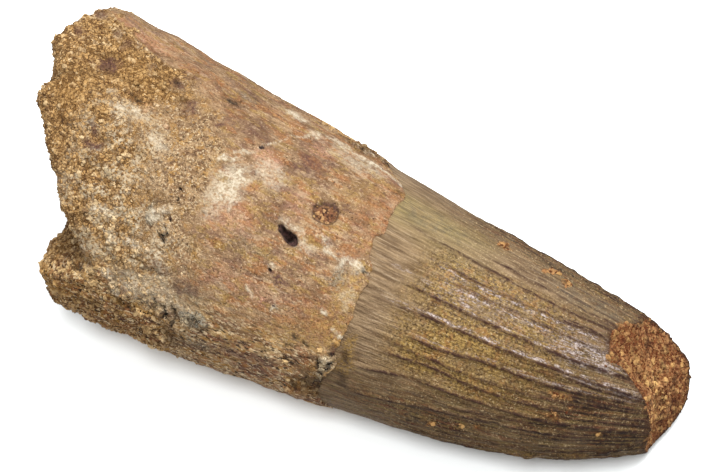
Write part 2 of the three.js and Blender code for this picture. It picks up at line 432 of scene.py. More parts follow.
class Lay:
    """Where each point of a skin lies on the tooth, for placing marks and relief."""

    def __init__(self, form: ToothForm, station: Array, angle: Array, points: Array) -> None:
        """Keeps the points and a little drift that makes every mark's edge uneven.

        Args:
            form: The tooth's form.
            station: Station of each point.
            angle: Angle of each point.
            points: Each point's place.
        """
        self.form, self.station, self.angle, self.points = form, station, angle, points
        self.drift_along = Lumps(11, 1.4, 0.6, 4).at(points)
        self.drift_around = Lumps(21, 1.4, 0.6, 4).at(points)

    def from_spot(self, station: float, angle: float) -> tuple:
        """Distances along and round the tooth from a spot to every point."""
        round_mm = np.radians(wrapped(self.angle - angle)) * float(self.form.half_width(station))
        return self.station - station + self.drift_along, round_mm + self.drift_around

    def patch(self, spot: Patch, drift: float = 1.0) -> Array:
        """How strongly a patch shows at every point, from 0 to 1, without its strength.

        Args:
            spot: The patch.
            drift: How uneven its edge is.

        Returns:
            One number for each point.
        """
        along, around = self.from_spot(spot.station, spot.angle)
        along = along - (1 - drift) * self.drift_along
        around = around - (1 - drift) * self.drift_around
        cos, sin = math.cos(math.radians(spot.turn)), math.sin(math.radians(spot.turn))
        away = np.hypot((along * cos + around * sin) / spot.along, (around * cos - along * sin) / spot.around)
        return 1 - fade(away, 1 - spot.soft, 1 + spot.soft)

    def vein(self, line: Vein) -> Array:
        """How strongly a vein shows at every point, from 0 to 1, without its strength.

        Args:
            line: The vein.

        Returns:
            One number for each point.
        """
        nearest = np.full(self.station.shape, 99.0)
        for (x0, a0), (x1, a1) in zip(line.path, line.path[1:]):
            along, around = self.from_spot(x0, a0)
            step_along = x1 - x0
            step_around = math.radians(a1 - a0) * float(self.form.half_width(x0))
            length = step_along**2 + step_around**2
            share = np.clip((along * step_along + around * step_around) / length, 0, 1)
            away = np.hypot(along - share * step_along, around - share * step_around)
            nearest = np.minimum(nearest, away)
        return 1 - fade(nearest, 0.5 * line.width, 1.5 * line.width)

    def shown(self, mark: Patch | Vein) -> Array:
        """How strongly a mark shows at every point, from 0 to 1, without its strength."""
        return self.patch(mark) if isinstance(mark, Patch) else self.vein(mark)

    def stains(self, marks: tuple) -> dict:
        """Every stain's strength at every point.

        Args:
            marks: Patches and veins.

        Returns:
            Attribute name to numbers from 0 to 1.
        """
        bare = {stain: np.ones(self.station.shape) for stain in Stain}
        for mark in marks:
            bare[mark.stain] = bare[mark.stain] * (1 - mark.strength * self.shown(mark))
        return {stain.value: 1 - left for stain, left in bare.items()}

    def relief(self, marks: tuple) -> Array:
        """How far all the marks together stand out at every point.

        Args:
            marks: Patches and veins.

        Returns:
            The rise at each point.
        """
        total = np.zeros(self.station.shape)
        for mark in marks:
            if mark.rise:
                total += mark.rise * self.shown(mark)
        return total


# ---- Meshes ----


def placed(name: str, data: ID) -> Object:
    """A new object in the scene.

    Args:
        name: Its name.
        data: Its mesh, lamp or camera.

    Returns:
        The object.
    """
    thing = bpy.data.objects.new(name, data)
    bpy.context.scene.collection.objects.link(thing)
    return thing


@dataclass
class Skin:
    """A closed skin over rings of points that run from -X to +X."""

    name: str  # The object's name.
    rings: Array  # Points, axes ring, step round it and x, y, z, in millimetres.
    start: Array  # The point that closes its -X end.
    end: Array  # The point that closes its +X end.
    fields: dict = field(default_factory=dict)  # Attribute name to a number for each ring and step.
    face_from: int | None = None  # The ring from which faces take the second material.

    def build(self, form: ToothForm, materials: tuple) -> Object:
        """Makes the object.

        Args:
            form: The tooth's form, for the part's origin.
            materials: Its materials.

        Returns:
            The new object.
        """
        count, around = self.rings.shape[:2]
        points = np.concatenate([self.start[None], self.rings.reshape(-1, 3), self.end[None]])
        corner = 1 + np.arange(count * around).reshape(count, around)
        beside = np.roll(corner, -1, axis=1)
        quads = np.stack([corner[:-1], beside[:-1], beside[1:], corner[1:]], -1).reshape(-1, 4)
        last = len(points) - 1
        start_fan = [(0, b, a) for a, b in zip(corner[0].tolist(), beside[0].tolist())]
        end_fan = [(last, a, b) for a, b in zip(corner[-1].tolist(), beside[-1].tolist())]
        mesh = bpy.data.meshes.new(self.name)
        faces = quads.tolist() + start_fan + end_fan
        mesh.from_pydata(form.at_origin(points).tolist(), [], faces)
        for name, values in self.fields.items():
            flat = values.reshape(-1, values.shape[-1]) if values.ndim == 3 else values.reshape(-1, 1)
            padded = np.concatenate([flat[:1], flat, flat[-1:]])
            kind, slot = ("FLOAT_VECTOR", "vector") if values.ndim == 3 else ("FLOAT", "value")
            layer = mesh.attributes.new(name, kind, "POINT")
            layer.data.foreach_set(slot, padded.astype(np.float32).ravel())
        for material in materials:
            mesh.materials.append(material)
        if self.face_from is not None:
            index = np.zeros(len(faces), np.int32)
            index[self.face_from * around : len(quads)] = 1
            index[len(quads) + around :] = 1
            mesh.polygons.foreach_set("material_index", index)
        mesh.shade_smooth()
        mesh.update()
        return placed(self.name, mesh)


@dataclass(frozen=True)
class RingSteps:
    """Angles once round the tooth, closer together on one side."""

    count: int  # How many.
    closest: float  # The angle where they are closest together.
    crowding: float  # How much closer, from 0 to 1.

    def angles(self) -> Array:
        """The angles in order."""
        turn = np.arange(self.count) / self.count * 2 * math.pi
        return self.closest + np.degrees(turn - self.crowding * np.sin(turn))


def lay_fields(form: ToothForm, station: Array, angle: Array) -> dict:
    """Where a skin's points lie, for its materials and its grains.

    Args:
        form: The tooth's form.
        station: Stations of the points.
        angle: Their angles.

    Returns:
        Station, angle, and coordinates for streaks that taper as the tooth does: along it, and across and
        up on a round tooth of its width at the enamel line.
    """
    half = float(form.half_width(5.0))
    turn = np.radians(angle)
    lay = np.stack([station, half * np.sin(turn), half * np.cos(turn)], -1)
    return {"station": station, "angle": wrapped(angle), "lay": lay}


# ---- Crown ----


@dataclass(frozen=True)
class Rib:
    """A narrow raised line on the crown."""

    path: tuple  # (station, angle) points that it runs through.
    height: float  # How far it stands out.
    dark: float  # How dark its line is.
    sheen: float = 0.0  # How strong the painted sheen beside it is, above it where it is negative.

    def middle(self, station: Array) -> Array:
        """Where the rib's middle runs.

        Args:
            station: Stations along the crown.

        Returns:
            Its angle at each.
        """
        if len(self.path) > 2:
            return curve_through(self.path)(station)
        (start, first), (end, last) = self.path
        return np.interp(station, [start, end], [first, last])


# Stains and crumbs on the crown.
CROWN_MARKS = (
    *patches(
        Stain.RUST,
        (16.5, -31, 0.8, 0.5, 0.8, 0.05), (21.5, -28, 0.45, 0.3, 1, 0.12), (22.4, -33, 0.7, 0.5, 0.8, 0.08),
        (24, -28, 0.6, 0.35, 0.9, 0.1), (23.4, -20, 0.35, 0.25, 0.7), (28.4, 49, 1.1, 0.5, 0.8, 0.05),
        (28.6, 64, 1, 0.45, 0.7, 0.05), (30.1, 56, 0.35, 0.3, 0.6, 0.05), (16.4, 93, 0.4, 0.4, 1, 0.15),
        (18.2, 83, 0.25, 0.25, 0.8, 0.08), (20, 88, 0.3, 0.3, 0.8, 0.1), (21.5, 86, 0.3, 0.3, 0.9, 0.12),
        (33.1, 78, 0.6, 0.4, 0.5, 0.05), (31.7, -7, 0.8, 2.4, 1, 0.08), (32, 4, 0.9, 1.8, 1, 0.1),
        (33, 12, 0.5, 0.8, 0.9, 0.06),
    ),
    *patches(
        Stain.GOLD,
        (6.7, 60, 0.7, 1.6, 0.8, 0.05), (6.6, 71, 0.9, 1.6, 0.8, 0.08), (26, 112, 2, 0.9, 0.6, 0.25),
        (31, 108, 1.4, 0.7, 0.5, 0.2),
    ),
    *patches(
        Stain.BROWN,
        (6.4, 66, 0.6, 0.8, 0.7, 0.05), (6.6, 80, 0.8, 1.2, 0.6, 0.05), (33.6, 103, 0.35, 0.35, 0.9, 0.3),
        (35, 99, 0.3, 0.3, 0.9, 0.3), (36, 94, 0.25, 0.25, 0.9, 0.25),
    ),
    *patches(Stain.GREY, (9, -18, 4.5, 1.6, 0.35), (27, -22, 4, 1.5, 0.4)),
    Vein(Stain.MAUVE, ((13.9, 15), (13.4, 24), (12.8, 29)), 0.22, 0.8, 0.03),
)


@dataclass(frozen=True)
class Crown:
    """The ribbed enamel crown with its slanted break."""

    # The ribs that stand out one by one.
    ribs: tuple = (
        Rib(((15, -23), (23, -23), (30, -24)), 0.08, 0.4),
        Rib(((14, -15), (20, -13.5), (31, -12.5)), 0.15, 0.7),
        Rib(((7, -8), (16, -7), (24, -5), (31, -6.5)), 0.2, 0.85), Rib(((23, 0), (31, 0.5)), 0.12, 0.8),
        Rib(((11, 2), (16, 4), (20, 3.5), (25, 3), (31, 1)), 0.26, 0.8, 0.9),
        Rib(((12, 10.5), (20, 10.3), (26, 11), (32, 11.5)), 0.25, 0.6, 1),
        Rib(((6, 13), (15, 14)), 0.06, 0, 0.5),
        Rib(((9, 20), (14, 21.5), (20, 22.5), (26, 24), (34, 25)), 0.28, 0.9, -0.7),
        Rib(((8, 32.5), (16, 31.5), (22, 32.5), (28, 33.5), (36, 38)), 0.32, 1, -0.9),
        Rib(((10, 43.5), (17, 44.5), (20, 42.5), (26, 44), (35, 45)), 0.28, 1, -0.35),
        Rib(((9, 49.5), (16, 51.5), (22, 52.5), (32, 54)), 0.2, 0.8),
        Rib(((9, 57), (16, 55.5), (20, 58), (29, 60)), 0.2, 0.9),
        Rib(((7, 70), (14, 65), (20, 66), (28, 69), (37, 72.5)), 0.3, 1),
        Rib(((16, 76), (27, 73)), 0.08, 0.6),
        Rib(((6, 88), (12, 84), (18, 80), (24, 79), (32, 81)), 0.24, 0.8),
        Rib(((27, 47), (36, 50)), 0.14, 0.8), Rib(((28, 63), (37, 66)), 0.16, 0.9),
        Rib(((28, 76), (37, 80)), 0.16, 0.9), Rib(((29, 87), (37, 90)), 0.14, 0.8),
        Rib(((16, -18.5), (31, -18)), 0.08, 0.5), Rib(((22, -28), (31, -30)), 0.08, 0.45),
        Rib(((24, -9.5), (31, -9.5)), 0.1, 0.6), Rib(((27, 36), (36, 41.5)), 0.16, 1, -0.8),
        Rib(((25, 49), (36, 53)), 0.12, 0.7), Rib(((27, 57), (37, 60)), 0.12, 0.8),
        Rib(((26, 69.5), (37, 75.5)), 0.12, 0.7), Rib(((24, 84), (37, 85)), 0.1, 0.6),
        Rib(((12, 74), (24, 76)), 0.08, 0.5),
    )
    plain_from: float = 93.0  # The angle where the even ribs of the underside and far side begin.
    plain_to: float = 328.0  # The angle where they end.
    plain_pitch: float = 7.8  # Degrees between them.
    plain_height: float = 0.2  # How far they stand out.
    plain_seed: int = 5  # Seed of their small differences.
    plain_jitter: float = 1.2  # Degrees that one can be out of place.
    plain_start: tuple = (6, 12)  # The stations between which they start.
    plain_step: float = 8.5  # How far apart the four points of each lie.
    plain_waver: float = 0.8  # Degrees that it wavers.
    plain_heights: tuple = (0.6, 1.3)  # Least and greatest share of their height.
    plain_darks: tuple = (0.4, 0.8)  # Least and greatest darkness of their lines.
    rib_half_width: float = 0.3  # Half a rib's width at about a third of its height.
    rib_sharpness: float = 1.5  # How sharp its ridge is; 1 has straight flanks.
    rib_onset: tuple = (-1.5, 5.0)  # Where a rib starts to rise and is full, from its first station.
    rib_end: tuple = (-1.0, 2.0)  # Where it starts to sink and is gone, from its last station.
    rib_ripple: Lumps = Lumps(31, 0.6, 1.0, 4, 0.25)  # Unevenness of the ribs.
    rib_sway: float = 0.09  # How far that moves them sideways.
    line_share: float = 0.66  # Half the width of a rib's dark line over half the rib's.
    glint_place: float = 1.15  # How far beside a rib the painted sheen lies, over half the rib's width.
    glint_share: float = 0.6  # Half its width over half the rib's.
    glints: Lumps = Lumps(35, 0.5, 1.6, 3, 0.3)  # How the painted sheen beside them breaks up.
    tuck: float = 0.6  # How far the crown starts inside the root's edge.
    tuck_clearance: float = 0.12  # How far it stays above the table there, clear of the root's flat.
    tuck_depth: float = 0.9  # How deep its first ring lies inside the root.
    tuck_reach: float = 2.5  # How far that ring lies behind the next.
    steps: RingSteps = RingSteps(560, 38.0, 0.42)  # Points round each ring.
    rows: int = 152  # Rings from the enamel line to the rim.
    rim_wander: Lumps = Lumps(3, 1.1, 0.07)  # How the rim wanders.
    # Unevenness of the enamel.
    lumps: tuple = (Lumps(41, 0.9, 0.05, 3, 0.3), Lumps(43, 5.0, 0.08), Lumps(45, 0.7, 0.03, 2))
    chips: Lumps = Lumps(47, 1.3, 1.0)  # Where the rim is chipped.
    chip_depth: float = 0.12  # How deep the chips are.
    chip_reach: float = 1.2  # How far from the rim they reach.
    uneven: Lumps = Lumps(51, 3.5, 1.0, 3, 0.5)  # How the colours vary.
    # Spots where the patina has worn off, painted bright as a sheen.
    worn_and_sheen_spots: tuple = patches(Stain.GREY, (29.8, 18, 3.8, 1.4), (16.3, 16.5, 1.5, 0.5))
    worn_and_sheen_strength: float = 0.6  # How much of it has gone there, and how strong the painted sheen is.
    face_rows: int = 22  # Rings from the rim to the middle of the break.
    face_span: tuple = (0.985, 0.04)  # Size of the first and the last of them over the rim's.
    face_ledge: tuple = (0.02, 0.08)  # Where the step down from the rim lies, as shares of its radius.
    face_edge: float = 0.25  # How much of the break follows the ragged rim, as a share of its radius.
    face_smoothing: int = 14  # Steps of the rim that the rest of it smooths over, each way.
    face_bulge: float = 0.35  # How far its middle bulges out.
    face_lumps: Lumps = Lumps(61, 2.6, 0.4)  # Its unevenness.
    face_hollows: Lumps = Lumps(65, 1.8, 2.4)  # Where it has brown hollows.
    rim_step: float = 0.22  # How far the sandstone sits below the rim.
    marks: tuple = CROWN_MARKS  # Its stains and crumbs.

    def all_ribs(self) -> tuple:
        """Lists all the ribs.

        Returns:
            The listed ones and the even ones of the underside and far side.
        """
        rng = np.random.default_rng(self.plain_seed)
        count = round((self.plain_to - self.plain_from) / self.plain_pitch)
        jitter, waver = self.plain_jitter, self.plain_waver
        plain = []
        for i in range(count):
            angle = self.plain_from + i * self.plain_pitch + rng.uniform(-jitter, jitter)
            start = rng.uniform(*self.plain_start)
            path = tuple((start + k * self.plain_step, angle + rng.uniform(-waver, waver)) for k in range(4))
            height = self.plain_height * rng.uniform(*self.plain_heights)
            plain.append(Rib(path, height, rng.uniform(*self.plain_darks)))
        return self.ribs + tuple(plain)

    def rib_relief(self, lay: Lay) -> tuple:
        """The ribs' relief, their dark lines and the painted sheen beside them.

        Args:
            lay: Where the crown's points lie.

        Returns:
            The rise at each point, and the darkness and the painted sheen beside it from 0 to 1.
        """
        ripple = self.rib_ripple.at(lay.points)
        half = lay.form.half_width(lay.station)
        streaky = np.clip(0.9 + self.glints.at(lay.points), 0, 1)
        rise, dark, sheen = (np.zeros(lay.station.shape) for _ in range(3))
        for rib in self.all_ribs():
            start, end = rib.path[0][0], rib.path[-1][0]
            away = np.radians(wrapped(lay.angle - rib.middle(lay.station))) * half + self.rib_sway * ripple
            rising, sinking = np.array(self.rib_onset) + start, np.array(self.rib_end) + end
            shown = between(lay.station, *rising, *sinking)
            shape = np.maximum(1 - np.abs(away) / (2.0 * self.rib_half_width), 0) ** self.rib_sharpness
            rise += rib.height * shape * shown * (1 + 0.5 * ripple)
            line = np.exp(-((away / (self.line_share * self.rib_half_width)) ** 2))
            dark = np.maximum(dark, rib.dark * line * shown * (1.05 + 0.9 * ripple))
            beside = away - math.copysign(self.glint_place * self.rib_half_width, rib.sheen)
            glint = abs(rib.sheen) * np.exp(-((beside / (self.glint_share * self.rib_half_width)) ** 2))
            sheen = np.maximum(sheen, glint * shown * streaky)
        return rise, np.clip(dark, 0, 1), np.clip(sheen, 0, 1)

    def build(self, form: ToothForm, enamel: Material, filling: Material) -> Object:
        """Makes the crown's skin.

        Args:
            form: The tooth's form.
            enamel: Material of the crown.
            filling: Material of the sandstone in the break.

        Returns:
            The crown's object.
        """
        angle = np.tile(self.steps.angles(), (self.rows + 1, 1))
        line, rim = ring_curve(form.enamel_line)(angle), ring_curve(form.break_rim)(angle)
        share = np.linspace(0, 1, self.rows)[:, None]
        start = line - self.tuck
        ragged = self.rim_wander.at(form.skin(rim, angle))
        along = start[1:] + (rim[1:] + ragged[1:] - start[1:]) * share
        station = np.concatenate([start[:1] - self.tuck_reach, along])
        lay = Lay(form, station, angle, form.skin(station, angle))
        rise, dark, sheen = self.rib_relief(lay)
        for lumps in self.lumps:
            rise += lumps.at(lay.points)
        rise += lay.relief(self.marks)
        chipped = fade(self.chips.at(lay.points), 0.1, 0.6)
        rise -= self.chip_depth * chipped * fade(station, rim - self.chip_reach, rim)
        rise[0] -= self.tuck_depth
        side = lay.points + unit(lay.points - form.centre(station)) * rise[..., None]
        tucked = self.tuck_clearance * (1 - fade(station, line, line + self.tuck))
        side[..., 2] = np.maximum(side[..., 2], tucked)
        face, middle = self.break_face(side[-1])
        fields = lay.stains(self.marks)
        fields["rib"] = dark
        fields["rim"] = fade(station, rim - 2.0, rim - 0.1)
        fields |= self.tones(lay)
        # Bare enamel and the painted sheen beside the ribs share one attribute.
        fields["bare"] = np.maximum(fields["bare"], sheen)
        on_face = {
            "rim": np.linspace(1, 0, len(face))[:, None] ** 1.5,
            "rust": np.repeat(fields["rust"][-1:], len(face), axis=0),
            "brown": np.clip(self.face_hollows.at(face) - 0.2, 0, 1),
        }
        for name, values in fields.items():
            fields[name] = np.concatenate([values, on_face.get(name, 0.0) * np.ones(face.shape[:2])])
        station, angle = (np.concatenate([x, np.tile(x[-1], (len(face), 1))]) for x in (station, angle))
        fields |= lay_fields(form, station, angle)
        fields["grit"] = 0.5 * fields["rust"]
        fields["grit"][len(side) :] = 1.0
        rings = np.concatenate([side, face])
        skin = Skin("crown", rings, form.centre(np.array(-4.0)), middle, fields, self.rows)
        return skin.build(form, (enamel, filling))

    def tones(self, lay: Lay) -> dict:
        """How the crown's colour changes from place to place.

        Args:
            lay: Where the crown's points lie.

        Returns:
            Attribute name to a number from 0 to 1 at each point.
        """
        # The numbers in the fades are stations along the crown and angles round it.
        station, angle = lay.station, wrapped(lay.angle)
        uneven = self.uneven.at(lay.points)
        patina = between(station, 8, 15, 25, 32) * (1 - fade(np.abs(angle - 31), 26, 46))
        olive = np.exp(-(((angle + 17) / 13) ** 2)) * (1 - fade(station, 13, 19))
        # Painted shade: darker down the near side and under the tooth.
        lower = fade(angle, 44, 96) * (0.45 + 0.4 * fade(station, 6, 20))
        tip = np.maximum(0.85 * fade(station, 16, 32) * fade(angle, 12, 50), 0.5 * fade(station, 22, 30))
        far = (1 - fade(angle, -52, -12)) * fade(station, 2, 20)
        dusk = np.max([lower, tip, far], axis=0)
        bare = np.max([self.worn_and_sheen_strength * lay.patch(spot, 0.5) for spot in self.worn_and_sheen_spots], axis=0)
        return {
            "patina": np.clip(patina * (0.9 + 0.7 * uneven), 0, 1),
            "olive": np.clip(olive * (0.8 + 0.6 * uneven), 0, 1),
            "dusk": np.clip(dusk * (0.95 + 0.4 * uneven), 0, 1),
            # A broad band of painted highlight high on the near flank.
            "bare": np.maximum(bare, 0.2 * np.exp(-(((angle - 10) / 14) ** 2)) * fade(station, 10, 15)),
        }

    def break_face(self, rim: Array) -> tuple:
        """The broken tip's rough sandstone face.

        Args:
            rim: Points of the enamel's broken edge.

        Returns:
            Rings from the edge inwards, and the middle point.
        """
        reach = self.face_smoothing
        smooth_rim = sum(np.roll(rim, k, axis=0) for k in range(-reach, reach + 1)) / (2 * reach + 1)
        middle = smooth_rim.mean(axis=0) + np.array([self.face_bulge, 0, 0])
        rings = []
        for share in np.linspace(*self.face_span, self.face_rows):
            inward = min((1 - share) / self.face_edge, 1.0)
            ring = middle + (rim + (smooth_rim - rim) * inward - middle) * share
            ring[:, 0] += self.face_lumps.at(ring) * math.sqrt(1 - share)
            step = self.rim_step * float(fade(np.array(1 - share), *self.face_ledge))
            ring[:, 0] += self.face_bulge * (1 - share**2) - step
            rings.append(ring)
        return np.array(rings), middle + np.array([self.face_bulge - self.rim_step, 0, 0])


# ---- Root ----


@dataclass(frozen=True)
class Pit:
    """A steep-sided pit in the root."""

    station: float  # Station of its middle.
    angle: float  # Angle of its middle.
    along: float  # Half its length along the tooth.
    around: float  # Half its width round the tooth.
    depth: float  # How deep it is.
    turn: float = 0.0  # Degrees that its length turns towards larger angles.
    filled: bool = False  # Whether sand grains lie in it.


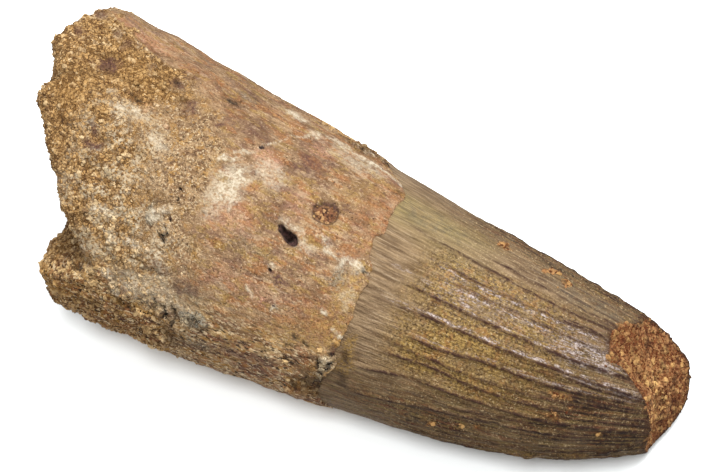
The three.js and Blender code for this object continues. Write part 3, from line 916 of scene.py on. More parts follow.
# Stains, veins and crusts on the root.
ROOT_MARKS = (
    *patches(
        Stain.PALE,
        # Cream crust left of the pits, its bright heart, and the speckled crust beside it.
        (-11.2, 16, 1.7, 2.1, 0.6, 0.08), (-10.4, 11.5, 0.9, 1.3, 0.85, 0.06),
        (-11, 20, 0.5, 1.3, 0.7, 0.05, 20), (-11.8, 25, 1.3, 2, 0.4, 0.04), (-7.9, 3.8, 1.9, 1.7, 0.5, 0.02),
        (-12.7, 6, 1.2, 0.3, 1, 0.16, -36),
        # Thin cream lines along the cracks.
        (0.2, -34, 1.5, 0.5, 0.8), (4.2, 22.6, 1.3, 0.6, 0.45, 0.04, 12), (1, 21, 1.4, 0.5, 0.35, 0.02, 25),
        # Cream and white spots.
        (3.4, 48.5, 0.45, 0.35, 0.9, 0.1), (5.2, 56, 1, 0.35, 1, 0.1, 20), (5, 38, 0.6, 1.2, 0.35, 0.05),
        (-24.2, 9, 1.7, 0.9, 0.75), (-26.6, 4.5, 0.6, 0.5, 0.5), (-20, 13.5, 1, 0.8, 0.6),
        (-3.2, 20, 1.3, 0.5, 0.55, 0, 10), (-1.6, 24.5, 1.6, 0.6, 0.5, 0, 15), (-1.5, -29, 3.4, 1.4, 0.4),
        (-22.2, 47, 1.3, 0.8, 1), (-20.6, 58, 0.7, 0.5, 0.9), (-18.4, 55, 1, 0.6, 0.9),
        (-20.4, 72, 0.6, 0.9, 0.8), (-19.6, 79, 0.6, 0.7, 0.8), (-15.8, 73, 4.2, 1.9, 0.5),
        (-10.1, -38, 1.2, 0.9, 0.8), (-7, -31, 1, 0.5, 0.6), (-3.44, 39.9, 0.45, 0.35, 0.8, 0.05),
        (-2, 55.4, 0.35, 0.3, 0.9, 0.08), (-4.9, 53, 0.5, 0.35, 0.7, 0.1), (0.1, 50, 0.3, 0.25, 0.8),
        (-14.4, 66, 0.35, 0.3, 0.7), (-10.7, 74.6, 0.28, 0.24, 0.7, 0.06),
        (-9.8, 78.6, 0.24, 0.3, 0.7, 0.06), (-9.3, 74.2, 0.3, 0.2, 0.6, 0.06),
        (-10.9, 80, 0.3, 0.2, 0.6, 0.06), (-3.2, -43, 0.35, 0.25, 0.8, 0.1),
        (-1.4, -41.5, 0.4, 0.25, 0.8, 0.15), (0.1, -43, 0.3, 0.3, 0.8, 0.15),
        (1.7, -41, 0.4, 0.25, 0.8, 0.1), (3, -41, 0.3, 0.2, 0.8, 0.1), (4.5, 71, 0.35, 0.3, 0.9, 0.15),
        (4.5, 82, 0.4, 0.3, 0.8, 0.15),
    ),
    *patches(
        Stain.GOLD,
        # Ochre and gold.
        (-15.4, 46, 1.2, 1.4, 0.7, 0.15), (4.8, 45, 1.2, 4.6, 0.9, 0.03), (3.6, 60, 2.2, 2.4, 0.8),
        (5, 30, 0.8, 1.2, 0.6), (-13.6, 12, 0.8, 2.6, 0.5), (-25, -9, 6, 2.2, 0.5),
        (-29.5, 11, 3.2, 2.6, 0.5, 0.3), (-3, 74, 5.2, 1.5, 0.8, 0, -27), (1.4, 64, 2.4, 1.4, 0.6),
        (6, 63, 0.6, 0.8, 0.8), (-26, 93, 5, 1.5, 0.6), (0.7, -7, 1.7, 2.6, 0.4),
    ),
    *patches(
        Stain.RUST,
        # Orange where iron has stained the bone.
        (3.5, -4, 1.7, 6.2, 0.5), (4.6, 0, 0.6, 4.2, 0.6, 0.05), (2.6, 52, 3.2, 2.6, 0.55),
        (-1.2, -13, 0.9, 0.7, 0.6), (-6, -28, 0.9, 0.7, 0.4), (-22, 4.5, 3, 0.9, 0.7),
        (-17, -15, 3.2, 3.2, 0.25), (-22, -28, 4, 1.2, 0.4), (1.9, 99, 1.6, 1, 0.6, 0.3),
        (-12, -33, 3, 1, 0.5),
    ),
    *patches(
        Stain.MAUVE,
        # Purple-brown smudges of manganese.
        (2.6, -29.5, 1.2, 0.6, 0.55), (-4.8, -11.5, 1.5, 1.4, 0.7), (-3.6, -17, 0.9, 0.7, 0.6),
        (-5.4, -5, 1.1, 0.7, 0.6), (-2.3, 43, 0.9, 0.45, 1), (-15.3, -6.5, 0.6, 0.5, 1, -0.05),
        (-26, 27, 0.9, 0.8, 0.95), (-26.4, 21, 0.7, 0.6, 0.9), (-29.2, -5.3, 1.2, 1, 1),
        (-28.8, -18, 0.6, 0.8, 0.6), (-22, -15, 1, 0.6, 0.8), (-21.3, -21.5, 0.9, 0.5, 0.7),
        (-34, -12, 0.6, 0.6, 0.7), (-19.4, -9, 0.6, 0.8, 0.8), (-33.6, -27, 0.8, 0.5, 0.8),
        (-12.5, -14, 3.2, 1.8, 0.4), (-16, -35, 2.6, 0.7, 0.6), (-6.2, -20, 1.4, 3, 0.3),
        (-5.8, 14, 1.2, 3, 0.25), (-11.2, 62.5, 1.7, 0.9, 0.6, 0, -15), (-14.7, 59.5, 1.3, 0.9, 0.45),
        (-5, 90, 4.2, 1.1, 0.5), (-5.4, 81, 2.4, 0.5, 0.5, 0, -20), (0.6, -1, 0.7, 0.5, 0.6),
        (-19, -6, 1.2, 0.9, 0.6), (5.2, 65, 0.7, 0.6, 1, -0.1),
    ),
    *patches(
        Stain.PINK,
        (-28.5, -29, 3.5, 1.8, 0.5), (-9.2, -3, 1.7, 1.1, 0.7), (-9, 27.5, 2.4, 1.8, 0.45, 0, -30),
        (-5.3, -22, 1.4, 0.9, 0.7), (-5.2, 51.5, 3.6, 0.9, 0.35, 0, 3), (-3.2, 54.6, 0.45, 0.35, 0.9, 0.08),
        (-8.6, 51, 1, 1.3, 0.3), (-9.6, 57, 0.8, 0.8, 0.25), (-4, 10, 1.5, 1.8, 0.4),
    ),
    *patches(
        Stain.GREY,
        # Grey and green-grey patches.
        (3.4, 31, 0.9, 1.7, 0.7), (-10.2, 76, 1.7, 1.3, 1, 0.3, 0, 0.25), (-9.4, 91, 1.8, 1, 0.7),
        (-22.8, 34, 0.6, 0.6, 0.6), (-17.4, 40, 0.5, 1.5, 0.9), (-2, 55.2, 0.45, 0.4, 0.7),
        (-11, 66, 2.2, 1.2, 0.45), (-15.2, -30, 1.6, 0.5, 0.5), (-6.5, 35, 2.4, 1.6, 0.25),
        (4.7, 73, 0.9, 1.6, 0.8, 0.1),
    ),
    *patches(
        Stain.DARK,
        # Black specks, cracks and crumbs.
        (-9.6, 77, 0.9, 0.8, 0.45, 0, 0, 0.3), (-24.3, 2.3, 0.6, 0.25, 0.9, -0.05, 10),
        (-22.3, -15.4, 0.5, 0.3, 0.8),
        (-21.1, 0.4, 0.4, 0.2, 0.9, -0.05), (-16.2, -22, 0.4, 0.25, 0.9), (-15.4, -24, 0.35, 0.25, 0.9),
        (-14.6, -33, 0.8, 0.25, 0.7), (5.35, 23.8, 0.4, 0.26, 0.9, 0, 30),
        # The rough crest high on the far side.
        (-4.4, -44, 0.45, 0.25, 0.9, -0.1), (-2.2, -42.5, 0.5, 0.3, 0.9, -0.1),
        (-0.6, -44, 0.4, 0.3, 0.9, -0.15), (0.9, -42, 0.55, 0.25, 0.9, -0.1),
        (2.3, -42.5, 0.4, 0.3, 0.9, -0.15), (5, 66.5, 0.5, 0.3, 0.9, -0.1), (5.2, 73, 0.35, 0.5, 1, -0.12),
        (4, 74, 0.35, 0.5, 0.9, -0.1), (4.7, 79, 0.5, 0.35, 0.9, -0.1), (4.4, 88, 0.8, 1.6, 0.65, -0.1),
        (1.2, 65, 0.4, 0.3, 0.8, -0.1), (0.2, 70, 0.5, 0.2, 0.8, -0.1), (2.3, 68, 0.3, 0.3, 0.8, -0.1),
        (3.2, 88, 0.5, 0.5, 0.7), (1.6, 95, 0.5, 0.5, 0.7),
    ),
    *patches(
        Stain.BROWN,
        # The grooves beside the upper and lower lobes of sandstone, and other brown hollows.
        (3.4, 91, 2.3, 3.4, 0.8), (-12.3, 94, 1.5, 1.8, 0.7, -0.1), (-18.7, 84, 0.9, 0.9, 0.7, -0.1),
        (-22.5, 94, 1.6, 0.9, 0.5, -0.1), (3.9, -23, 0.5, 0.8, 0.7), (-2.5, -42, 2.8, 1, 0.7, 0.1),
        (0.2, -45, 3, 0.8, 0.4, 0.3), (-25.9, -25.2, 1.3, 0.5, 0.8, -0.2), (-28, -26, 0.7, 0.4, 0.8, -0.2),
        (-30.2, -9.5, 1.2, 0.7, 0.6, -0.25), (-20.2, -8.8, 0.8, 0.5, 0.7, -0.15),
        (-22.6, -12.5, 1.5, 1, 0.4), (-16, -25, 1.6, 1, 0.4), (-13.4, 79.6, 1.6, 1.6, 0.35),
    ),
    Vein(Stain.PALE, ((-12.2, 12.5), (-10.9, 14.3), (-10, 17.5), (-9.5, 26)), 0.26, 0.7, 0.1),
    Vein(Stain.PALE, ((-12, 3), (-10.3, -6), (-8.8, -18), (-7.3, -27), (-6.3, -35)), 0.13, 0.7, 0.05),
    Vein(Stain.PALE, ((-6, -35), (0, -34), (4.5, -31)), 0.42, 0.6, 0.02),
    Vein(Stain.PALE, ((-0.4, 19), (1.3, 22), (2.4, 24)), 0.16, 0.8, 0.06),
    Vein(Stain.PALE, ((2.6, 28), (3.2, 23.5), (4.8, 22), (6, 25)), 0.2, 0.8, 0.06),
    Vein(Stain.PALE, ((-17, 42), (-16.9, 38), (-16.2, 36), (-15.3, 37)), 0.35, 0.8, 0.22),
    # Brown lines in the grooves beside the lobes: brown stain, partly painted shade in the grooves.
    Vein(Stain.BROWN, ((-34.5, 12), (-32.4, 6.6), (-31.1, 2.9), (-29.6, 0), (-27.4, -2.8),
                       (-25.5, -2.5)), 0.4, 0.45, -0.35),
    Vein(Stain.BROWN, ((-26.5, 64), (-24.5, 66.5)), 0.5, 0.45, -0.1),
    Vein(Stain.BROWN, ((-20.1, 80), (-18.8, 84.2), (-17, 85)), 0.3, 0.6, -0.2),
    Vein(Stain.DARK, ((-16.2, 45), (-15.4, 47.5), (-14.6, 46)), 0.08, 0.8, -0.05),
    Vein(Stain.DARK, ((-14.4, 75), (-14, 77.5), (-14.6, 80)), 0.12, 1, -0.2),
    Vein(Stain.DARK, ((-13.5, 76), (-13, 79), (-13.6, 84)), 0.18, 1, -0.3),
    Vein(Stain.DARK, ((-12.4, 77), (-12.1, 81), (-12.6, 86)), 0.14, 1, -0.2),
    Vein(Stain.DARK, ((-15.8, 43), (-15.2, 44.5), (-15.4, 47.5), (-14.8, 48)), 0.16, 1, -0.12),
)


@dataclass(frozen=True)
class Root:
    """The bony root with the sandstone cemented on its end."""

    steps: RingSteps = RingSteps(432, 38.0, 0.25)  # Points round each ring.
    end_rows: int = 34  # Rings over the broken end.
    end_fullness: float = 0.62  # Power that rounds the edge of the end; less is fuller.
    end_dish: float = 0.6  # Power that dishes it between its middle and its edge.
    end_edge: tuple = (0.75, 0.97)  # Where it turns into the side, as shares of its radius.
    side_rows: int = 190  # Rings from the broken end to the enamel line.
    lip_depth: float = 1.3  # How far its skin turns in at the enamel line.
    lip_lean: float = 0.15  # How far it leans back there.
    inside_lean: float = 0.6  # How far further in, halfway to the middle.
    core_inset: float = 10.0  # How far inside the end's hollow the point lies that it faces away from.
    line_wander: Lumps = Lumps(7, 1.4, 0.3)  # How the enamel line wanders.
    # How far the sandstone reaches. Angle, station.
    sand_edge: tuple = (
        (-60, -33), (-42, -34), (-26, -32), (-19, -22.5), (-8, -19.5), (0, -20.5), (10, -22),
        (20, -20.5), (30, -19), (45, -17), (58, -15.5), (70, -13.5), (82, -12), (95, -11.5),
        (110, -12), (140, -18), (180, -22), (230, -25), (270, -30),
    )
    # How far the finer sandy crust reaches beyond it. Angle, station.
    crust_edge: tuple = (
        (-60, -31), (-42, -32), (-26, -30), (-19, -20), (-8, -16.5), (0, -14), (10, -12.8),
        (25, -12.2), (40, -12.6), (55, -11.8), (62, -11), (70, -10.5), (80, -9.5), (95, -9), (112, -9),
        (140, -12), (180, -16), (230, -18), (270, -24),
    )
    sand_angle_wander: Lumps = Lumps(83, 2.4, 10.0, 4)  # How its edge wanders round the tooth, in degrees.
    sand_wander: Lumps = Lumps(81, 4.0, 1.8, 5)  # How its edge wanders along the tooth.
    sand_fade: tuple = (-2.2, 1.4)  # Where it is still full and where it is gone, from its edge.
    crust_wander: Lumps = Lumps(85, 3.6, 2.4, 5)  # How the crust's edge wanders.
    crust_fade: tuple = (-2.0, 1.5)  # Where it is still full and where it is gone, from its edge.
    # Spots where loose sand clings to the bone. Station, angle, half length, half width.
    crumbs: tuple = (
        (4.8, 70, 0.8, 1.4), (4.2, 82, 1.4, 2.6), (2.0, 94, 1.6, 1.5), (-3.0, -43, 2.8, 0.7),
        (0.6, 83, 0.7, 0.7), (-10.2, 76, 1.0, 1.0), (5.4, 60, 0.5, 0.7), (-8.0, 93, 1.6, 1.2),
        (1.9, 99, 1.6, 1.0), (-0.6, -45, 3.6, 0.9), (-6.4, -47, 2.6, 0.7),
    )
    # The pits that stand out one by one. The first two are cut in the solid as well.
    pits: tuple = (
        Pit(-0.9, 7.2, 1.45, 1.35, 0.5, 0, True), Pit(-2.8, 24.9, 0.82, 0.6, 1, 8),
        Pit(-3.6, 23.7, 0.62, 0.56, 0.9, 12), Pit(-4.15, 22.6, 0.46, 0.48, 0.6),
        Pit(-3.44, 41.6, 0.26, 0.2, 0.35, 30), Pit(-2, 55.2, 0.2, 0.18, 0.15),
        Pit(-10.35, -6.2, 0.4, 0.22, 0.35, -30), Pit(-15.4, 26, 0.18, 0.3, 0.4),
        Pit(-15.4, 31, 0.15, 0.25, 0.35), Pit(-15.2, 39, 0.2, 0.2, 0.35),
    )
    solid_pit_reach: float = 2.4  # How far round those the solid's rise isn't read.
    solid_reach: float = 3.0  # The greatest rise that is read.
    solid_smoothing: float = 4.0  # Over how many grid steps it is smoothed.
    fill_share: float = 0.82  # Size of a pit's sand against the pit's.
    powder: Lumps = Lumps(87, 1.8, 1.6, 4)  # Where white powder lies.
    sand_depth: tuple = (0.12, 0.08)  # Depth of the sand on the solid, and of the crust.
    sand_lumps: Lumps = Lumps(93, 2.1, 0.42, 4)  # Unevenness of the sandstone.
    cobble_size: float = 0.9  # Width of its rounded lumps.
    cobble_height: float = 0.2  # How far they stand out.
    crust_lumps: Lumps = Lumps(101, 1.0, 0.12)  # Unevenness of the crust.
    # Unevenness of the bone.
    bone_lumps: tuple = (Lumps(95, 0.8, 0.05, 3, 0.2), Lumps(97, 3.2, 0.1), Lumps(103, 0.8, 0.05, 2))
    low_lumps: Lumps = Lumps(105, 0.9, 0.16, 3, 0.5)  # More of it on the low side.
    pocks: Lumps = Lumps(99, 1.1, 1.0, 1)  # Where the bone is pocked.
    pock_depth: float = 0.12  # How deep the pocks are.
    grit_patches: Lumps = Lumps(71, 2.5, 0.8)  # How the grains thin out.
    table_gap: tuple = (0.2, 0.5)  # Heights above the table where grains start and are all there.
    marks: tuple = ROOT_MARKS  # Its stains, veins and crusts.

    def build(self, form: ToothForm, solid: PackedSolid, bone: Material) -> Object:
        """Makes the root's skin.

        Args:
            form: The tooth's form.
            solid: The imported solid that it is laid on.
            bone: Its material.

        Returns:
            The root's object.
        """
        angles = self.steps.angles()
        line = ring_curve(form.enamel_line)(angles)
        line = line + self.line_wander.at(form.skin(line, angles))
        lay, outward, on_side = self.smooth_lay(form, angles, line)
        rise = self.laid_on(lay, solid.rise(lay.points, outward))
        points = lay.points + outward * rise[..., None]
        sand, crust = np.maximum(self.sand(lay), 1 - on_side), self.crust(lay)
        relief = self.fine_relief(Lay(form, lay.station, lay.angle, points), sand, crust)
        points = points + outward * relief[..., None]
        fields = self.fields(lay, points, on_side, sand, crust)
        # Two more rings close the skin inside the crown.
        lip = points[-1] - outward[-1] * self.lip_depth
        lip[:, 0] -= self.lip_lean
        inside = (points[-1] + form.centre(line - self.inside_lean)) / 2
        rings = np.concatenate([points, lip[None], inside[None]])
        fields = {name: np.concatenate([x, x[-1:], x[-1:]]) for name, x in fields.items()}
        skin = Skin("root", rings, points[0].mean(axis=0), form.centre(np.array(3.0)), fields)
        return skin.build(form, (bone,))

    def smooth_lay(self, form: ToothForm, angles: Array, line: Array) -> tuple:
        """Lays points on the smooth form, over the broken end and on along the side.

        Args:
            form: The tooth's form.
            angles: Angles round the tooth.
            line: Station of the enamel line at each.

        Returns:
            The lay, which way is out at each point, and a number from 0 on the end to 1 on the side.
        """
        shoulder = ring_curve(form.root_outline)(angles) + form.root_end_rounding
        turn = np.radians(90 * np.arange(1, self.end_rows + 1) / (self.end_rows + 1))[:, None]
        reach = np.sin(turn) ** self.end_fullness
        depth = form.root_end_rounding * np.cos(turn) ** self.end_fullness
        inner = form.root_end_middle + form.root_end_rounding
        end_station = inner + (shoulder - inner) * reach**self.end_dish
        side_station = shoulder + (line - shoulder) * np.linspace(0, 1, self.side_rows)[:, None]
        station = np.concatenate([end_station, side_station])
        reach = np.concatenate([reach * np.ones(self.steps.count), np.ones(side_station.shape)])
        depth = np.concatenate([depth * np.ones(self.steps.count), np.zeros(side_station.shape)])
        angle = np.tile(angles, (len(station), 1))
        middle = form.centre(station)
        smooth = middle + (form.skin(station, angle) - middle) * reach[..., None]
        smooth[..., 0] -= depth
        core_station = form.root_end_middle + self.core_inset
        core = np.where((smooth[..., 0] < core_station)[..., None],
                        form.centre(np.array(core_station)), form.centre(smooth[..., 0]))
        return Lay(form, smooth[..., 0], angle, smooth), unit(smooth - core), fade(reach, *self.end_edge)

    def fields(self, lay: Lay, points: Array, on_side: Array, sand: Array, crust: Array) -> dict:
        """What the root's skin holds for its colours and its grains.

        Args:
            lay: Where the smooth points lie.
            points: The finished points.
            on_side: 0 on the broken end, 1 on the side.
            sand: How much sandstone covers them.
            crust: How much fine sandy crust covers them.

        Returns:
            Attribute name to values.
        """
        fields = {name: shown * on_side for name, shown in lay.stains(self.marks).items()}
        # The low side lies between these angles.
        angle = wrapped(lay.angle)
        low = np.maximum(fade(angle, 56, 82), 1 - fade(angle, -150, -95))
        # The low side, which the finishes paint paler as light from below, with painted shade in its hollows.
        fields |= {"sand": sand, "crust": crust, "under": low * on_side}
        fields |= lay_fields(lay.form, lay.station, lay.angle)
        hollow = sum(self.bowl(lay, pit) for pit in self.pits)
        filled = sum(self.bowl(lay, pit, self.fill_share) for pit in self.pits if pit.filled)
        fields["hollow"] = np.clip(hollow - filled, 0, 1)
        fields["filled"] = np.clip(filled, 0, 1)
        fields["chalk"] = self.chalk(lay) * on_side
        crumbs = sum(0.6 * lay.patch(spot) for spot in patches(Stain.BROWN, *self.crumbs))
        off_the_table = fade(points[..., 2], *self.table_gap)
        grit = sand * (0.75 + self.grit_patches.at(points)) + crumbs + fields["filled"]
        fields["grit"] = np.clip(grit, 0, 1) * off_the_table
        fields["dust"] = np.clip(0.9 * sand + 0.6 * crust + crumbs, 0, 1) * off_the_table
        return fields

    def laid_on(self, lay: Lay, rise: Array) -> Array:
        """The solid's rise without its flat faces and its pits.

        Args:
            lay: Where the points lie.
            rise: The solid's own rise, not a number where it wasn't met.

        Returns:
            A smooth rise.
        """
        trusted = np.isfinite(rise) & (np.abs(rise) < self.solid_reach)
        for pit in self.pits[:2]:
            along, around = lay.from_spot(pit.station, pit.angle)
            trusted &= np.hypot(along, around) > self.solid_pit_reach
        return blurred(np.where(trusted, rise, 0.0), self.solid_smoothing, trusted * 1.0)

    def sand(self, lay: Lay) -> Array:
        """How much sandstone covers each point, from 0 to 1."""
        edge = ring_curve(self.sand_edge)(lay.angle + self.sand_angle_wander.at(lay.points))
        return 1 - fade(lay.station + self.sand_wander.at(lay.points) - edge, *self.sand_fade)

    def crust(self, lay: Lay) -> Array:
        """How much fine sandy crust covers each point, from 0 to 1."""
        edge = ring_curve(self.crust_edge)(lay.angle)
        return 1 - fade(lay.station + self.crust_wander.at(lay.points) - edge, *self.crust_fade)

    def bowl(self, lay: Lay, pit: Pit, share: float = 1.0) -> Array:
        """How far into a pit each point lies.

        Args:
            lay: Where the points lie.
            pit: The pit.
            share: Its size against its full size.

        Returns:
            A number from 0 outside to 1 on its floor.
        """
        spot = Patch(Stain.DARK, pit.station, pit.angle, pit.along * share, pit.around * share,
                     turn=pit.turn, soft=0.22)
        return lay.patch(spot, 0.5)

    def chalk(self, lay: Lay) -> Array:
        """How much white powder lies on the sand and the crust.

        Args:
            lay: Where the points lie.

        Returns:
            A number from 0 to 1 for each point.
        """
        # The numbers in the fades are stations along the root and angles round it.
        angle = wrapped(lay.angle)
        reach = -22 + 6 * fade(angle, 34, 46)
        band = between(lay.station, -30, -25, reach, reach + 5)
        return band * between(angle, 0, 12, 60, 84) * np.clip(0.45 + self.powder.at(lay.points), 0, 1)

    def fine_relief(self, lay: Lay, sand: Array, crust: Array) -> Array:
        """The relief that is finer than the solid's.

        Args:
            lay: Where the points lie.
            sand: How much sandstone covers them.
            crust: How much fine sandy crust covers them.

        Returns:
            How far each point moves out.
        """
        points = lay.points
        on_sand, on_crust = self.sand_depth
        near = Noise(91).cells(points, self.cobble_size)[0]
        lumpy = self.sand_lumps.at(points) + self.cobble_height * (0.55 - near)
        rise = sand * (on_sand + lumpy)
        rise += (1 - sand) * crust * (on_crust + self.crust_lumps.at(points))
        low = fade(wrapped(lay.angle), 58, 78) * self.low_lumps.at(points)
        bone = sum(lumps.at(points) for lumps in self.bone_lumps) + low
        rise += (1 - sand) * (bone - self.pock_depth * fade(self.pocks.at(points), 0.4, 0.75))
        rise += lay.relief(self.marks)
        return rise - sum(pit.depth * self.bowl(lay, pit) for pit in self.pits)


# ---- Sand grains ----


@dataclass(frozen=True)
class GrainBed:
    """Sand grains scattered on a skin by Geometry Nodes."""

    name: str  # The object's name.
    size: float  # Mean width of a grain.
    spacing: float  # The least distance between two grains.
    density: float  # Grains for each square millimetre where the bed is full.
    angles: tuple  # The stretch of angles that it covers.
    seed: int  # Seed of the scatter.
    bed: str = "grit"  # The held number that says how full the bed is.
    sides: int = 3  # Corners along each edge of the block that a grain starts from.
    rarity: float = 2.5  # How rare large grains are; a power of their chance.
    smallest: float = 0.7  # Width of the smallest grain over size.
    # The least and the greatest stretch of a grain, in x, y and z.
    stretch: tuple = ((0.7, 0.7, 0.6), (1.3, 1.3, 1.1))
    sunk: float = 0.25  # Share of its width that a grain is sunk in the cement.
    roundness: float = 0.6  # How far a block turns into a ball, from 0 to 1.
    ball: float = 0.55  # The ball's radius against the block's width.
    unevenness: float = 0.9  # How far a grain's faces are pushed about, as a share of its width.

    def tree(self, material: Material) -> NodeTree:
        """Builds the scatter.

        Args:
            material: The grains' material.

        Returns:
            The node tree, whose named inputs are the grain sizes and the angles.
        """
        tree = bpy.data.node_groups.new(self.name, "GeometryNodeTree")
        face = tree.interface
        face.new_socket("Skin", in_out="INPUT", socket_type="NodeSocketGeometry")
        for label in ("Grain size", "Spacing", "Density", "From angle", "To angle"):
            face.new_socket(label, in_out="INPUT", socket_type="NodeSocketFloat")
        face.new_socket("Seed", in_out="INPUT", socket_type="NodeSocketInt")
        face.new_socket("Grains", in_out="OUTPUT", socket_type="NodeSocketGeometry")
        given = add(tree, "NodeGroupInput")
        points, outward = self.spread(tree, given)
        tones = add(tree, "FunctionNodeRandomValue")
        seeded = {"Seed": given.outputs["Seed"]}
        spin = add(tree, "FunctionNodeRandomValue",
                   {"data_type": "FLOAT_VECTOR", 0: (0, 0, 0), 1: (FULL_TURN,) * 3}, seeded)
        # Many small grains and a few large ones, each stretched its own way.
        chance = add(tree, "FunctionNodeRandomValue", {2: 0.0, 3: 1.0})
        few = add(tree, "ShaderNodeMath", {"operation": "POWER", 1: self.rarity}, {0: chance.outputs[1]})
        factor = add(tree, "ShaderNodeMath", {"operation": "ADD", 1: self.smallest}, {0: few.outputs[0]})
        width = add(tree, "ShaderNodeMath", {"operation": "MULTIPLY"},
                    {0: factor.outputs[0], 1: given.outputs["Grain size"]})
        stretch = add(tree, "FunctionNodeRandomValue",
                      {"data_type": "FLOAT_VECTOR", 0: self.stretch[0], 1: self.stretch[1]}, seeded)
        scale = add(tree, "ShaderNodeVectorMath", {"operation": "SCALE"},
                    {0: stretch.outputs[0], "Scale": width.outputs[0]})
        # Each grain is sunk in the cement by a share of its width.
        sink = add(tree, "ShaderNodeMath", {"operation": "MULTIPLY", 1: -self.sunk}, {0: width.outputs[0]})
        inward = add(tree, "ShaderNodeVectorMath", {"operation": "SCALE"},
                     {0: outward, "Scale": sink.outputs[0]})
        bedded = add(tree, "GeometryNodeSetPosition", {}, {"Geometry": points, "Offset": inward.outputs[0]})
        grains = add(tree, "GeometryNodeInstanceOnPoints", {},
                     {"Points": bedded.outputs[0], "Instance": self.grain(tree),
                      "Rotation": spin.outputs[0], "Scale": scale.outputs[0]})
        toned = add(tree, "GeometryNodeStoreNamedAttribute",
                    {"domain": "INSTANCE", "Name": "tone"},
                    {"Geometry": grains.outputs[0], "Value": tones.outputs[1]})
        real = add(tree, "GeometryNodeRealizeInstances", {}, {"Geometry": toned.outputs[0]})
        dressed = add(tree, "GeometryNodeSetMaterial", {"Material": material}, {"Geometry": real.outputs[0]})
        add(tree, "NodeGroupOutput", {}, {"Grains": dressed.outputs[0]})
        return tree

    def spread(self, tree: NodeTree, given: Node) -> tuple:
        """Scatters points over the bed, between the two angles.

        Args:
            tree: The node tree.
            given: The tree's inputs.

        Returns:
            The points and the direction outwards at each.
        """
        grit = add(tree, "GeometryNodeInputNamedAttribute", {"Name": self.bed})
        angle = add(tree, "GeometryNodeInputNamedAttribute", {"Name": "angle"})
        above = add(tree, "FunctionNodeCompare", {"operation": "GREATER_THAN"},
                    {0: angle.outputs[0], 1: given.outputs["From angle"]})
        below = add(tree, "FunctionNodeCompare", {"operation": "LESS_EQUAL"},
                    {0: angle.outputs[0], 1: given.outputs["To angle"]})
        within = add(tree, "FunctionNodeBooleanMath", {"operation": "AND"},
                     {0: above.outputs[0], 1: below.outputs[0]})
        scatter = add(tree, "GeometryNodeDistributePointsOnFaces", {"distribute_method": "POISSON"},
                      {"Mesh": given.outputs["Skin"], "Selection": within.outputs[0],
                       "Distance Min": given.outputs["Spacing"], "Density Max": given.outputs["Density"],
                       "Density Factor": grit.outputs[0], "Seed": given.outputs["Seed"]})
        return scatter.outputs["Points"], scatter.outputs["Normal"]

    def grain(self, tree: NodeTree) -> NodeSocket:
        """One broken grain, a block with its corners rounded off and its faces uneven.

        Args:
            tree: The node tree.

        Returns:
            Its mesh, about 1 wide.
        """
        count = {"Vertices " + axis: self.sides for axis in "XYZ"}
        cube = add(tree, "GeometryNodeMeshCube", count | {"Size": (1, 1, 1)})
        place = add(tree, "GeometryNodeInputPosition")
        ball = add(tree, "ShaderNodeVectorMath", {"operation": "NORMALIZE"}, {0: place.outputs[0]})
        half_ball = add(tree, "ShaderNodeVectorMath", {"operation": "SCALE", "Scale": self.ball},
                        {0: ball.outputs[0]})
        rounded = add(tree, "ShaderNodeMix", {"data_type": "VECTOR", 0: self.roundness},
                      {4: place.outputs[0], 5: half_ball.outputs[0]})
        noise = add(tree, "ShaderNodeTexNoise", {"Scale": 2.3, "Detail": 0.0})
        reach, middle = (self.unevenness,) * 3, (-self.unevenness / 2,) * 3
        uneven = add(tree, "ShaderNodeVectorMath", {"operation": "MULTIPLY_ADD", 1: reach, 2: middle},
                     {0: noise.outputs["Color"]})
        shaped = add(tree, "GeometryNodeSetPosition", {},
                     {"Geometry": cube.outputs["Mesh"], "Position": rounded.outputs[1],
                      "Offset": uneven.outputs[0]})
        flat = add(tree, "GeometryNodeSetShadeSmooth", {"Shade Smooth": False},
                   {"Geometry": shaped.outputs[0]})
        return flat.outputs[0]

    def build(self, skin: Object, material: Material) -> Object:
        """Scatters the grains and makes them a plain mesh.

        Args:
            skin: The object that they lie on.
            material: Their material.

        Returns:
            The grains' object.
        """
        carrier = placed(self.name, skin.data.copy())
        modifier = carrier.modifiers.new("scatter", "NODES")
        modifier.node_group = self.tree(material)
        values = {
            "Grain size": self.size * MM, "Spacing": self.spacing * MM,
            "Density": self.density / MM**2, "From angle": self.angles[0],
            "To angle": self.angles[1], "Seed": self.seed,
        }
        for item in modifier.node_group.interface.items_tree:
            if item.name in values:
                modifier[item.identifier] = values[item.name]
        depsgraph = bpy.context.evaluated_depsgraph_get()
        mesh = bpy.data.meshes.new_from_object(carrier.evaluated_get(depsgraph))
        bpy.data.objects.remove(carrier)
        mesh.name = self.name
        return placed(self.name, mesh)


TIP_BEDS = (
    GrainBed("tip_grains", 0.42, 0.28, 30.0, (-181, 181), 3),
    GrainBed("tip_fine_sand", 0.2, 0.18, 40.0, (-181, 181), 10, "grit", 2),
)
ROOT_BEDS = (
    GrainBed("grains_near", 0.38, 0.3, 18.0, (10, 70), 4),
    GrainBed("grains_top", 0.38, 0.3, 18.0, (-80, 10), 5),
    GrainBed("grains_under", 0.5, 0.4, 14.0, (70, 181), 6),
    GrainBed("grains_far", 0.42, 0.4, 14.0, (-181, -80), 7),
    GrainBed("fine_sand_near", 0.2, 0.2, 24.0, (-70, 105), 8, "dust", 2),
    GrainBed("fine_sand_under", 0.24, 0.32, 12.0, (105, 181), 9, "dust", 2),
    GrainBed("fine_sand_far", 0.24, 0.32, 12.0, (-181, -70), 11, "dust", 2),
)


# ---- Finishes ----


def adjust(node: Node, settings: dict) -> None:
    """Sets a node's properties and sockets.

    Args:
        node: The node.
        settings: Property or socket to value; a socket is named or numbered.
    """
    for name, value in settings.items():
        if isinstance(name, str) and name in node.bl_rna.properties:
            setattr(node, name, value)
        else:
            node.inputs[name].default_value = value


